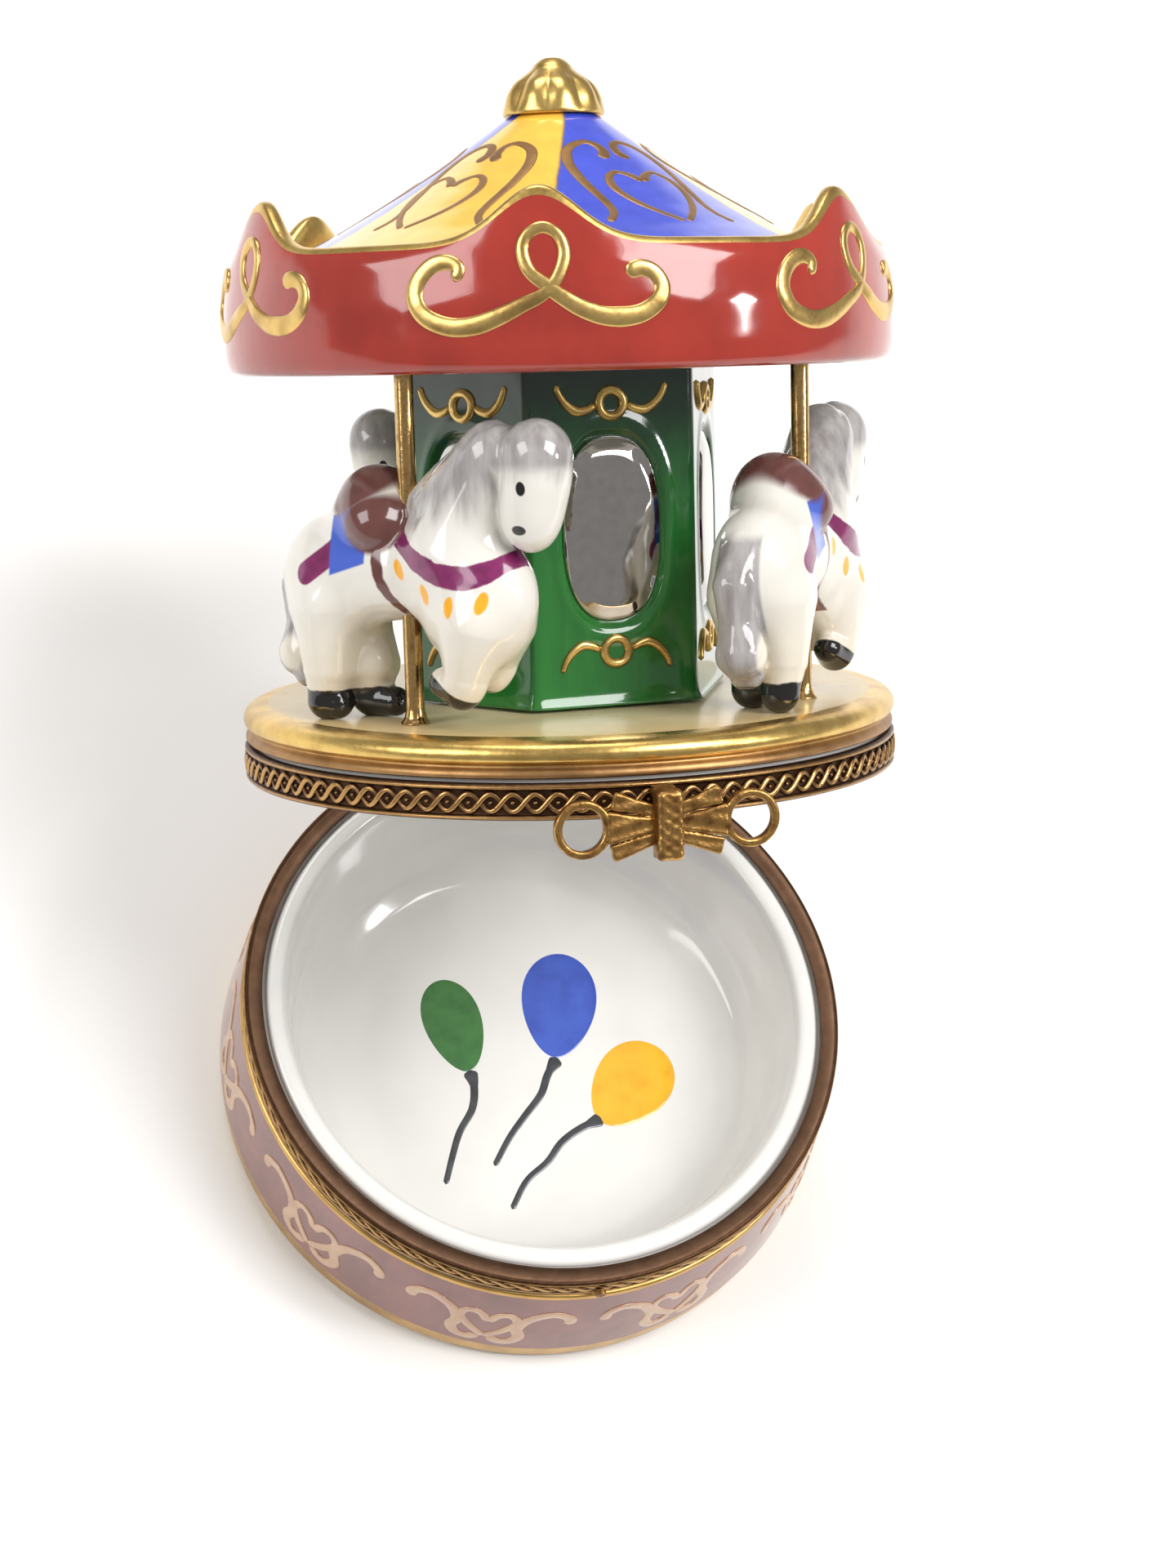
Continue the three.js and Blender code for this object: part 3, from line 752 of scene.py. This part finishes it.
def bezel(name, height, side, body, place, shift):
    """A brass bezel: a flat rim and a skirt with two borders and two waves that cross each other."""
    face = BEZEL_R - 0.3
    edge = face + 0.12
    section = [
        [BEZEL_LIP_R, 0.1], [face, 0.1], [edge, 0.16], [BEZEL_R, 0.35], [edge, 0.55], [face, 0.62],
        [face, height - 0.62], [edge, height - 0.55], [BEZEL_R, height - 0.33], [edge, height - 0.1],
        [face, height], [BEZEL_INNER, height], [BEZEL_INNER, 0.8], [BEZEL_LIP_R, 0.8], [BEZEL_LIP_R, 0.1],
    ]
    rows = filleted(section, 0.08, 3)
    rows = np.stack([rows[:, 0], shift + side * rows[:, 1]], 1)
    waves, steps = 50, 50 * 14
    turn = np.arange(steps) * 2 * math.pi / steps
    out = outward(turn)
    middle, swing = height / 2, height / 2 - 0.88
    parts = [turned(rows, 288)]
    for phase in (0, math.pi):
        z = middle + swing * np.sin(waves * turn + phase)
        lift = 0.1 * np.cos(waves * turn + phase)
        path = out * (face + lift)[:, None] + np.outer(shift + side * z, UP)
        parts.append(bead(path, out, 0.26, 0.28, closed=True, sides=5))
    for k in range(2 * waves):
        at = math.pi * (k + 0.5) / waves
        normal = outward(at)
        tangent = np.array([math.cos(at), math.sin(at), 0])
        centre = normal * face + UP * (shift + side * middle)
        stud = [centre + tangent * t for t in (-0.25, -0.1, 0.1, 0.25)]
        parts.append(bead(stud, [normal] * 4, 0.2, 0.24, sides=4))
    piece(f"{name}_relief", merged(parts), RELIEF_BRASS, place, body, [name])


def balloons():
    """Three balloons painted on the bowl's floor, each with its knot and a wavy string."""
    lie = BOWL_FLOOR + 0.01
    drawings = {  # centre, half-sizes, lean in degrees, and the string from the knot
        "green": ((-6.6, 4.5), (3.8, 5.9), 8, [
            (-5.8, -0.7), (-5.6, -2.6), (-6.2, -5.0), (-7.9, -7.4), (-9.0, -9.8), (-10.2, -12.8)]),
        "blue": ((4.9, 5.7), (4.9, 6.7), -14, [
            (3.7, -0.3), (2.3, -2.1), (1.2, -4.2), (-0.9, -6.4), (-2.9, -8.6), (-4.9, -11.4)]),
        "yellow": ((10.9, -4.1), (4.9, 6.0), -46, [
            (7.2, -7.5), (4.6, -8.4), (2.4, -9.7), (0.6, -11.6), (-1.9, -13.4), (-3.9, -16.2)]),
    }
    strings = []
    rings, spokes = 8, 48
    for name, (centre, radii, lean, string) in drawings.items():
        c, s = math.cos(math.radians(lean)), math.sin(math.radians(lean))
        points = []
        for ring in range(rings + 1):
            share = ring / rings
            for spoke in range(spokes):
                turn = 2 * math.pi * spoke / spokes
                narrow = 1 - 0.3 * ((1 - math.sin(turn)) / 2) ** 1.5
                u, v = radii[0] * share * math.cos(turn) * narrow, radii[1] * share * math.sin(turn)
                z = lie + 0.05 * (1 - share ** 4) if ring < rings else lie - 0.1
                points.append([centre[0] + u * c - v * s, centre[1] + u * s + v * c, z])
        shape = points, grid_faces(rings + 1, spokes, wrap_columns=True, caps=[rings])
        piece(f"balloon_{name}", shape, BALLOON_PAINTS[name], BOX, "base")
        path = flowing([(*p, lie) for p in string], 0.25)
        widths = np.interp(np.arange(len(path)), [0, 3, 7, len(path)], [1.0, 0.7, 0.42, 0.3])
        strings.append(bead(path, [UP] * len(path), widths, 0.05, sink=0.1))
    piece("balloon_strings", merged(strings), INK, BOX, "base")


# ---- Carousel floor, column and poles ----
def platform():
    """The porcelain floor with its moulded gilt rim."""
    under = PLATFORM_Z - 2
    top_edge = 27.6
    profile = [
        [0, under], [24.5, under], [26.3, 3.2], [26.8, 1.2], [SEAT_R - 0.6, 1.2], [SEAT_R, 1.6],
        [SEAT_R, 3.5], [29.75, 3.55], [29.72, 4.1], [29.3, 4.45], [29.3, 4.65], [29.85, 5.0],
        [29.9, 5.7], [29.5, 6.3], [28.8, 6.6], [top_edge, PLATFORM_Z], [24, PLATFORM_Z],
        [12, PLATFORM_Z], [0, PLATFORM_Z],
    ]
    shape = turned(densified(filleted(profile, 0.35), 1.5))

    def paint(centres):
        radius, z = np.hypot(centres[:, 0], centres[:, 1]), centres[:, 2]
        rim = (radius > top_edge) & (z > 3.4)
        inside = z < PLATFORM_Z - 1
        return np.select([rim & (z < 4.55), rim, inside], [2, 1, 3], 0)

    materials = [CREAM, GILT, PAINTED_GILT, PORCELAIN]
    piece("floor", shape, materials, LID, "lid", ["platform"], paint)


def face_frame(index):
    """Outward and sideways direction of one of the column's faces."""
    turn = math.radians(COLUMN_TURN + index * PITCH)
    return outward(turn), np.array([math.cos(turn), math.sin(turn), 0])


def rounded_hexagon(corner, step):
    """Points and outward directions round the column, with its corners rounded."""
    points, normals = [], []
    half = COLUMN_R / 2 - corner * math.tan(math.pi / SIDES)
    for index in range(SIDES):
        normal, along = face_frame(index)
        for s in np.linspace(-half, half, int(2 * half / step)):
            points.append(normal * APOTHEM + along * s)
            normals.append(normal)
        pivot = normal * (APOTHEM - corner) + along * half
        for k in range(1, 5):
            out = outward(math.radians(COLUMN_TURN + (index + k / 5) * PITCH))
            points.append(pivot + out * corner)
            normals.append(out)
    return points, normals


def oval_size(x, z):
    """1 on the outline of a mirror, less inside it: an oval with straighter sides."""
    return (np.abs(x / (MIRROR_W / 2)) ** 2.5 + np.abs(z / (MIRROR_H / 2)) ** 2.5) ** (1 / 2.5)


def column():
    """The six-sided column, with a sunk oval seat for each mirror and a soft rim round it."""
    outline, normals = rounded_hexagon(0.9, 0.22)
    heights = np.arange(COLUMN_FOOT, COLUMN_TOP + 0.2, 0.25)
    points = []
    for z in heights:
        for spot, out in zip(outline, normals):
            turn = math.degrees(math.atan2(spot[0], -spot[1])) - COLUMN_TURN
            off = math.radians(turn - PITCH * round(turn / PITCH))
            size = oval_size(APOTHEM * math.tan(off), z - MIRROR_Z)
            edge = (size - 1) * MIRROR_W / 2
            seat = -0.5 / (1 + math.exp(np.clip((edge - 0.16) / 0.07, -40, 40)))
            rim = 0.14 * math.exp(-((edge - 0.75) / 0.4) ** 2)
            spread = 0.5 * math.exp(-((z - COLUMN_FOOT) / 0.8))
            points.append(spot + out * (seat + rim + spread) + UP * z)
    rows = len(heights)
    faces = grid_faces(rows, len(outline), wrap_columns=True, caps=(0, rows - 1))
    piece("column_shell", (points, faces), GREEN, LID, "lid", ["column"])


def mirrors():
    """Six oval mirrors with bevelled, slightly domed faces."""
    rings = [  # share of the mirror's size, and height above the face
        (0, 0.3), (0.3, 0.29), (0.6, 0.26), (0.76, 0.22), (0.81, 0.18), (0.85, 0.1), (0.89, 0.0),
        (0.93, -0.09), (0.96, -0.16), (0.985, -0.26), (1.0, -0.6),
    ]
    spokes = 72
    for index in range(SIDES):
        normal, along = face_frame(index)
        centre = normal * APOTHEM + UP * MIRROR_Z
        points = []
        for share, depth in rings:
            for spoke in range(spokes):
                turn = 2 * math.pi * spoke / spokes
                reach = share / oval_size(math.cos(turn), math.sin(turn))
                off = along * (reach * math.cos(turn)) + UP * (reach * math.sin(turn))
                points.append(centre + off + normal * depth)
        faces = grid_faces(len(rings), spokes, wrap_columns=True, caps=[len(rings) - 1])
        name = f"mirror_{index + 1}"
        piece(f"{name}_glass", (points, faces), SILVER, LID, "lid", [name])


def column_ornaments():
    """On each face, a gilt ring with two curls above the mirror, and one turned over below it."""
    turn = np.linspace(0, 2 * math.pi, 40, endpoint=False)
    ring = 1.12 * np.stack([np.cos(turn), np.sin(turn)], 1)
    curl = flowing([(1.4, -0.1), (2.2, -0.5), (3.2, -0.6), (4.2, 0.1), (4.8, 1.0), (5.0, 1.7)], 0.2)
    widths = np.interp(np.linspace(0, 1, len(curl)), [0, 0.4, 1], [0.32, 0.44, 0.26])
    for index in range(SIDES):
        normal, along = face_frame(index)
        parts = []
        for ring_z, flip in ((33.2, 1), (11.8, -1)):

            def on_face(points):
                lift = np.outer(ring_z + flip * points[:, 1], UP)
                return np.outer(points[:, 0], along) + lift + normal * APOTHEM

            parts.append(bead(on_face(ring), [normal] * len(ring), 0.42, 0.4, closed=True))
            for hand in (-1, 1):
                parts.append(bead(on_face(curl * (hand, 1)), [normal] * len(curl), widths, 0.3))
        piece(f"column_gilt_{index + 1}", merged(parts), RAISED_GILT, LID, "lid")


def poles():
    """Brass poles with flared feet."""
    foot = PLATFORM_Z + 0.02
    rows = [
        [0, foot], [1.3, foot], [1.25, foot + 0.12], [0.95, foot + 0.5], [POLE_R, foot + 1.3],
        [POLE_R, 20], [POLE_R, POLE_TOP], [0, POLE_TOP],
    ]
    points, faces = turned(filleted(rows, 0.2, 4), 32)
    for name, degrees in POLE_TURNS.items():
        moved = points + around(POLE_RING_R, degrees)
        piece(f"pole_{name}_rod", (moved, faces), BRASS, LID, "lid", [f"pole_{name}"])


# ---- Horses: +X forwards, +Y towards the column, heights above the carousel's floor ----
def horse_field(p):
    """Distance to the surface of a plump little horse on its hind legs, its fore legs tucked up."""
    body = blob(p, (-2.0, 0, 13.2), (8.4, 3.9, 4.6))
    body = blend(body, blob(p, (-6.9, 0, 12.1), (5.2, 4.2, 5.6)), 2.0)
    body = blend(body, blob(p, (8.0, 0, 10.9), (5.6, 4.1, 6.0)), 2.0)
    body = blend(body, limb(p, ((6.0, 0, 15.2), 4.2), ((10.0, 0, 22.0), 2.9)), 2.0)
    for side, hoof, toe in ((-1, -7.4, -6.2), (1, -5.2, -2.6)):
        y = side * 1.7
        thigh = limb(p, ((-7.0, y, 9.5), 3.0), ((hoof + 0.4, y, 4.6), 2.3), ((hoof, y, 1.7), 1.6))
        body = blend(body, thigh, 1.6)
        body = blend(body, limb(p, ((hoof, y, 1.6), 1.65), ((toe, y, 1.35), 1.3)), 0.4)
    for side, knee, foot in ((-1, 8.0, 3.4), (1, 8.2, 4.4)):
        y = side * 1.9
        body = blend(body, limb(p, ((9.0, side * 1.7, 8.5), 2.9), ((knee, y, foot + 1.0), 2.0)), 1.4)
        body = blend(body, limb(p, ((knee - 0.4, y, foot), 1.75), ((knee - 2.3, y, foot + 0.5), 1.3)), 0.5)
    crest = p[..., 0] * 0.55 - p[..., 2] * 0.35 + np.abs(p[..., 1]) * 0.3
    locks = 0.06 * np.sin(crest * 4.2) + 0.03 * np.sin(crest * 7.1 + 1.0)
    mane = limb(p, ((4.2, 0, 18.4), 2.55), ((10.2, 0, 23.0), 2.6)) + locks
    body = blend(body, mane, 1.0)
    head = blob(p, (14.6, 0, 22.1), (2.9, 2.8, 3.5))
    muzzle = blob(p, (13.7, 0, 17.7), (2.6, 2.4, 2.9))
    head = blend(head, muzzle, 3.0)
    strand = np.sin(5 * np.arctan2(p[..., 1], p[..., 0] - 12.9) + 0.4 * p[..., 2])
    forelock = blob(p, (14.3, 0, 23.0), (2.95, 2.75, 2.6)) + 0.05 * strand
    head = blend(head, forelock, 0.6)
    body = blend(body, head, 0.45)
    cantle = blob(p, (-2.7, 0.3, 18.8), (3.0, 3.0, 3.0))
    flap = blob(p, (-0.9, 0, 16.9), (3.3, 4.4, 3.0))
    behind = np.clip((-1.5 - p[..., 0]) / 3, 0, 1)
    body = blend(body, blend(cantle, flap, 3.5), 0.4 + 2.2 * behind)
    tail = limb(
        p, ((-10.6, 0.6, 13.9), 1.6), ((-11.7, 0.8, 11.2), 1.9), ((-11.6, 0.6, 8.2), 1.6),
        ((-11.5, 0.3, 5.4), 2.2), ((-10.6, 0.2, 3.9), 1.6),
    )
    tail = tail + 0.05 * np.sin(3.6 * p[..., 1] + 0.5 * p[..., 2])
    return blend(body, tail, 0.6)


def horses():
    """Three copies of the horse, each facing along the ring of poles."""
    cell = 0.2
    shape = sculpted(horse_field, (-14.6, -5.6, -0.4), (18.6, 5.6, 27.0), cell)
    for name, degrees in POLE_TURNS.items():
        pole = Matrix.Translation(Vector(around(POLE_RING_R, degrees, PLATFORM_Z)) * MM)
        stand = Matrix.Translation(Vector((-HORSE_BACK, HORSE_IN, 0)) * MM)
        place = LID @ pole @ Matrix.Rotation(math.radians(degrees), 4, "Z") @ stand
        piece(f"horse_{name}_figure", shape, HORSE, place, "lid", [f"horse_{name}"])


# ---- Roof ----
def peak_share(turn):
    """1 at a peak of the valance and 0 between two peaks; turn is in radians from the clasp."""
    offset = np.degrees(turn) - PEAK_TURN
    offset = offset - PITCH * np.round(offset / PITCH)
    return np.exp(-((offset / PEAK_SPREAD) ** 2))


def roof_height(radius):
    """Height of the tent roof at a radius."""
    rise = ROOF_TOP - EAVE_Z + 1.3
    return ROOF_TOP - rise + rise * (np.clip(EAVE_R - radius, 0, None) / (EAVE_R - KNOB_R)) ** 1.25


def canopy_warp(rows, turn):
    """Lifts a row's third number of the peaks' rise and leans it in by its fourth."""
    share = peak_share(turn)
    return np.stack([rows[:, 0] - rows[:, 3] * share, rows[:, 1] + PEAK_RISE * rows[:, 2] * share], 1)


def canopy():
    """The roof in one shell: red valance, gilt top edge and six panels of two colours."""
    inner = VALANCE_R - 3.4
    outside = [
        [VALANCE_R - 1, VALANCE_Z, 0, 0], [VALANCE_R - 0.3, VALANCE_Z + 0.4, 0, 0],
        [VALANCE_R, VALANCE_Z + 1.8, 0, 0], [VALANCE_R, VALANCE_Z + 5.5, 0.05, 0.1],
        [VALANCE_R - 0.45, EAVE_Z - 1.6, 0.55, 0.45], [VALANCE_R - 0.85, EAVE_Z - 0.5, 0.92, 0.75],
    ]
    under = [
        [0, COLUMN_TOP + 0.3, 0, 0], [COLUMN_R + 1, COLUMN_TOP + 0.3, 0, 0], [inner - 1, 42, 0, 0],
        [inner, 40.6, 0, 0], [inner, VALANCE_Z + 0.4, 0, 0], [inner + 0.5, VALANCE_Z, 0, 0],
        [VALANCE_R - 1, VALANCE_Z, 0, 0],
    ]
    edge = [
        outside[-1], [VALANCE_R - 1.05, EAVE_Z - 0.1, 1, 0.8], [VALANCE_R - 1.5, EAVE_Z + 0.05, 1, 0.85],
        [VALANCE_R - 2.1, EAVE_Z - 0.05, 1, 0.85], [VALANCE_R - 2.7, EAVE_Z - 0.6, 0.85, 0.7],
        [EAVE_R, float(roof_height(EAVE_R)), 0.0, 0.0],
    ]
    radii = [EAVE_R, 25, 23, 20, 17, 14, 11, 8, 5.5, KNOB_R + 0.2]
    tent = [[r, float(roof_height(r)), 0, 0] for r in radii] + [[0, ROOF_TOP, 0, 0]]

    zones = [
        turned(densified(filleted(rows, cut), step), 360, canopy_warp)
        for rows, cut, step in ((under, 0.5, 1.5), (outside, 0.6, 0.8), (edge, 0.4, 0.4), (tent, 0.6, 1.0))
    ]
    paints = np.repeat(np.arange(len(zones)), [len(faces) for _, faces in zones])
    materials = [PORCELAIN, RED, GILT, ROOF]
    piece("canopy_shell", merged(zones), materials, LID, "lid", ["canopy"], lambda _: paints)


def valance_spot(turn, z):
    """Points and outward directions on the valance's face."""
    radius = []
    for height, share in zip(z, peak_share(turn)):
        rise = PEAK_RISE * share
        heights = [VALANCE_Z, VALANCE_Z + 5.5, EAVE_Z - 1.6 + 0.55 * rise, EAVE_Z - 0.75 + 0.85 * rise]
        inset = [0, 0.1 * share, 0.45 + 0.45 * share, 0.8 + 0.7 * share]
        radius.append(VALANCE_R - np.interp(height, heights, inset))
    out = outward(turn)
    return out * np.array(radius)[:, None] + np.outer(z, UP), out


def valance_scrolls():
    """Below each peak, one raised gilt line: a curl, a loop and a second curl."""
    scroll = [
        (-6.8, 1.1), (-6.5, 2.1), (-7.5, 2.6), (-8.8, 2.3), (-9.9, 1.2), (-10.2, -0.2), (-9.3, -1.6),
        (-7.4, -2.4), (-5.4, -2.4), (-3.4, -1.8), (-1.4, -0.9), (0.3, -0.1), (1.5, 1.2), (2.1, 3.0),
        (1.6, 4.5), (0.4, 5.1), (-0.8, 4.6), (-1.3, 3.4), (-0.8, 1.8), (0.6, 0.6), (1.8, -0.3),
        (3.5, -1.3), (5.5, -1.9), (7.8, -1.8), (9.4, -0.9), (9.9, 0.3), (9.3, 1.4), (8.1, 1.8), (7.0, 1.4),
    ]
    crossing_z = 42.3
    path = flowing(scroll, 0.25)
    shares = [0, 0.06, 0.28, 0.4, 0.52, 0.65, 0.82, 0.94, 1]
    half_widths = [0.48, 0.7, 0.8, 0.55, 0.48, 0.55, 0.84, 0.66, 0.74]
    widths = np.interp(np.linspace(0, 1, len(path)), shares, half_widths)
    for index in range(SIDES):
        centre = math.radians(PEAK_TURN + index * PITCH)
        points, normals = valance_spot(centre + path[:, 0] / VALANCE_R, crossing_z + path[:, 1])
        shape = bead(points, normals, widths, 0.24)
        piece(f"valance_scroll_{index + 1}", shape, RAISED_GILT, LID, "lid")


def roof_spot(degrees, radius):
    """Points and outward directions on the roof."""
    flat = outward(np.radians(degrees))
    slope = (roof_height(radius + 0.05) - roof_height(radius - 0.05)) / 0.1
    normal = flat * -slope[:, None] + UP
    normal /= np.linalg.norm(normal, axis=1)[:, None]
    return flat * radius[:, None] + np.outer(roof_height(radius), UP), normal


def roof_ornaments():
    """On each panel a painted heart between two scrolls that mirror each other."""
    heart = [  # degrees from the panel's middle, and radius
        (0, 13.6), (4, 12.7), (9, 12.3), (13.2, 13.1), (13.6, 14.6), (10.5, 16.4), (6, 18.1), (0.5, 19.8),
    ]
    scroll = [
        (5.4, 10.3), (1.8, 9.5), (3.4, 8.5), (9.5, 8.0), (17.3, 8.4), (22, 9.3), (22.5, 10.9), (19.7, 12.9),
        (16.4, 15), (14.1, 16.8), (13.5, 18.4), (15.7, 19.9),
    ]
    by_hand = {0: (5, 0, 5), 5: (-9.5, -4.5, -2.5)}  # degrees that the heart and each scroll stray
    for index in range(SIDES):
        centre = SEAM_TURN + (index + 0.5) * PITCH
        heart_shift, left_shift, right_shift = by_hand.get(index, (0, 0, 0))
        parts = []
        for hand, scroll_shift in ((-1, left_shift), (1, right_shift)):
            for drawing, shift, wide in ((heart, heart_shift, 0.36), (scroll, scroll_shift, 0.42)):
                path = flowing([(d * 0.3, r) for d, r in drawing], 0.2)
                points, normals = roof_spot(centre + shift + hand * path[:, 0] / 0.3, path[:, 1])
                share = np.linspace(0, 1, len(path))
                widths = wide * np.interp(share, [0, 0.06, 0.2, 0.45, 0.8, 1], [1.3, 1.3, 0.8, 1.2, 1.0, 0.9])
                parts.append(bead(points, normals, widths, 0.06, sink=0.15))
        piece(f"roof_gilt_{index + 1}", merged(parts), PAINTED_GILT, LID, "lid")


def finial():
    """The gilt knob: a lobed bell with a domed cap."""
    bell = [  # radius, height above the roof, and depth of the lobes
        (0, 0.2, 0), (KNOB_R, 0.1, 0), (4.4, -0.65, 0), (4.6, -0.4, 0.1), (4.4, 0.3, 0.6), (4.1, 1.3, 1.0),
        (3.5, 2.3, 0.8), (2.5, 3.0, 0.3), (1.85, 3.5, 0),
    ]
    rows = [[radius, ROOF_TOP + rise, lobe] for radius, rise, lobe in bell]
    rows += [[1.6, FINIAL_TOP - 0.6, 0], [0.9, FINIAL_TOP - 0.05, 0], [0, FINIAL_TOP, 0]]
    lobes = 9

    def warp(profile, turn):
        wave = (abs(math.cos(lobes * turn / 2)) - 0.65) * 0.45
        return np.stack([profile[:, 0] + wave * profile[:, 2], profile[:, 1]], 1)

    shape = turned(densified(filleted(rows, 0.5), 0.2), 168, warp)
    piece("finial_knob", shape, GILT, LID, "lid", ["finial"])


# ---- Clasp ----
def slab(p, start, end, widths, thickness, corner):
    """A flat bar with rounded edges in the XZ plane, its half-width running from one to the other."""
    start, end = np.array(start, float), np.array(end, float)
    length = np.linalg.norm(end - start)
    ahead = (end - start) / length
    flat = p[..., [0, 2]] - start
    u = flat @ ahead
    v = flat @ np.array([-ahead[1], ahead[0]])
    half = np.interp(u / length, [0, 1], widths)
    sides = [np.abs(u - length / 2) - length / 2, np.abs(v) - half, np.abs(p[..., 1]) - thickness / 2]
    q = np.stack(sides, -1) + corner
    return np.linalg.norm(np.maximum(q, 0), axis=-1) + np.minimum(q.max(-1), 0) - corner


def clasp():
    """The bow with its six folds, the band round its knot, and the ring at each end of it."""
    band_low, band_high = extent("clasp_band")
    middle_z = (band_low[2] + band_high[2]) / 2
    half_h = (band_high[2] - band_low[2]) / 2
    depth = band_high[1] - band_low[1]
    loop_x, loop_r = 7.1, 2.08
    place = LID @ Matrix.Translation(Vector((0, band_high[1], middle_z)) * MM)
    folds = [  # tip of each fold: sideways, up, half-width, and how far it stands out at the tip
        (4.6, 2.2, 0.75, 0.15), (5.1, 0.0, 1.35, 0.35), (4.7, -2.2, 0.75, 0.1),
    ]

    def bow_field(p):
        out = None
        for hand in (-1, 1):
            for reach, up, width, stand in folds:
                lean = stand * np.clip(np.abs(p[..., 0]) / reach, 0, 1)
                moved = p + np.array([0, 0.45, 0])
                moved[..., 1] += lean
                fold = slab(moved, (hand * 0.3, up * 0.4), (hand * reach, up), (0.42, width), 0.6, 0.22)
                fold = fold + 0.028 * np.sin(p[..., 2] * 5 + p[..., 0] * hand)
                out = fold if out is None else blend(out, fold, 0.12)
        return out

    def band_field(p):
        moved = p + np.array([0, 0.95, 0])
        outer = slab(moved, (0, -half_h), (0, half_h), (1.12, 1.12), 1.9, 0.45)
        return outer + 0.03 * np.sin(7 * p[..., 2]) * np.sin(5 * p[..., 0])

    def ring_field(p):
        radius = np.hypot(np.abs(p[..., 0]) - loop_x, p[..., 2])
        flat = np.maximum(np.abs(radius - loop_r) - 0.13, 0)
        deep = np.maximum(np.abs(p[..., 1] + 0.55) - 0.25, 0)
        return np.hypot(flat, deep) - 0.2

    front, tall = -depth - 0.3, half_h + 0.4
    for name, node, field, x, reach, near, far, high in (
        ("bow", "clasp_bow", bow_field, 0, 6.2, front, 0.3, tall),
        ("bow_band", "clasp_band", band_field, 0, 1.6, front, 0.4, tall),
        ("bow_ring_left", "clasp_ring_left", ring_field, -loop_x, 2.8, -1.3, 0.2, 2.8),
        ("bow_ring_right", "clasp_ring_right", ring_field, loop_x, 2.8, -1.3, 0.2, 2.8),
    ):
        shape = sculpted(field, (x - reach, near, -high), (x + reach, far, high), 0.1)
        piece(name, shape, CAST_BRASS, place, "clasp", [node])


def small_brass():
    """The hinge, catch and clasp strip keep their CAD shapes, with soft edges and worn brass."""
    brass = {"base_hinge_leaf": HINGE_BRASS, "lid_hinge_leaf": HINGE_BRASS, "hinge_pin": HINGE_BRASS,
             "catch_stud": CAST_BRASS, "clasp_mount": CAST_BRASS, "clasp_strip": CAST_BRASS}
    for name, material in brass.items():
        node = frame["nodes"][name]
        node.data.materials.clear()
        node.data.materials.append(material)
        soften = node.modifiers.new("soft_edges", "BEVEL")
        soften.width = 0.08 * MM
        soften.segments = 2
        soften.limit_method = "ANGLE"


# ---- Stage, lights and camera, in metres ----
FLOOR_REACH = 1.5
LIT_SPOT = Vector((0, 0.02, 0.045))
LIGHTS = (  # name, place, size and watts
    ("key", (0.4, -0.1, 0.9), 0.5, 7.5),
    ("window", (0.5, -0.2, 0.45), 0.09, 0.8),
    ("fill", (-0.75, 0.05, 0.6), 0.5, 4.0),
    ("back", (-0.05, 0.6, 0.6), 0.4, 2.6),
)
CAMERA_SPOT = Vector((-56.741, -101.249, 242.391)) * MM
CAMERA_AZIMUTH = math.radians(-27.621)
CAMERA_ELEVATION = math.radians(57.883)
CAMERA_ROLL = math.radians(19.878)
LENS = 58.29


def stage():
    """A plain pale floor and soft studio light."""
    mesh = bpy.data.meshes.new("studio_floor")
    corners = [(x * FLOOR_REACH, y * FLOOR_REACH, 0) for x, y in ((-1, -1), (1, -1), (1, 1), (-1, 1))]
    mesh.from_pydata(corners, [], [(0, 1, 2, 3)])
    ground = linked("studio_floor", mesh)
    paint = Paint("studio_paper", roughness=0.8)
    paint.colour(paint.mix(paint.noise(0.01, 2.0), srgb(244, 243, 241), srgb(238, 237, 235)))
    mesh.materials.append(paint.material)

    world = bpy.data.worlds.new("studio")
    bpy.context.scene.world = world
    world.use_nodes = True
    sky = world.node_tree.nodes["Background"].inputs
    sky["Color"].default_value = (1.0, 0.98, 0.95, 1)
    sky["Strength"].default_value = 0.34
    bpy.context.scene.view_settings.view_transform = "Standard"
    for name, spot, size, power in LIGHTS:
        lamp = bpy.data.lights.new(name, "AREA")
        lamp.size = size
        lamp.energy = power
        light = linked(name, lamp)
        light.location = spot
        aim = LIT_SPOT - Vector(spot)
        light.rotation_mode = "QUATERNION"
        light.rotation_quaternion = aim.to_track_quat("-Z", "Y")


def camera():
    """A portrait view from the front left and well above, slightly rolled."""
    back = Vector(math.cos(CAMERA_ELEVATION) * outward(CAMERA_AZIMUTH) + math.sin(CAMERA_ELEVATION) * UP)
    right = Vector((math.cos(CAMERA_AZIMUTH), math.sin(CAMERA_AZIMUTH), 0))
    up = back.cross(right)
    x_axis = math.cos(CAMERA_ROLL) * right + math.sin(CAMERA_ROLL) * up
    y_axis = -math.sin(CAMERA_ROLL) * right + math.cos(CAMERA_ROLL) * up
    data = bpy.data.cameras.new("camera")
    data.lens = LENS
    data.sensor_width = 36
    data.clip_start = 0.01
    view = linked("camera", data)
    turn = Matrix((x_axis, y_axis, back)).transposed().to_4x4()
    view.matrix_world = Matrix.Translation(CAMERA_SPOT) @ turn
    bpy.context.scene.camera = view


camera()
stage()
bowl()
bezel("base_bezel", BOX_BEZEL_H, -1, "base", BOX, RIM_Z)
balloons()
bezel("lid_bezel", LID_BEZEL_H, 1, "lid", LID, 0)
platform()
column()
mirrors()
column_ornaments()
poles()
horses()
canopy()
valance_scrolls()
roof_ornaments()
finial()
clasp()
small_brass()
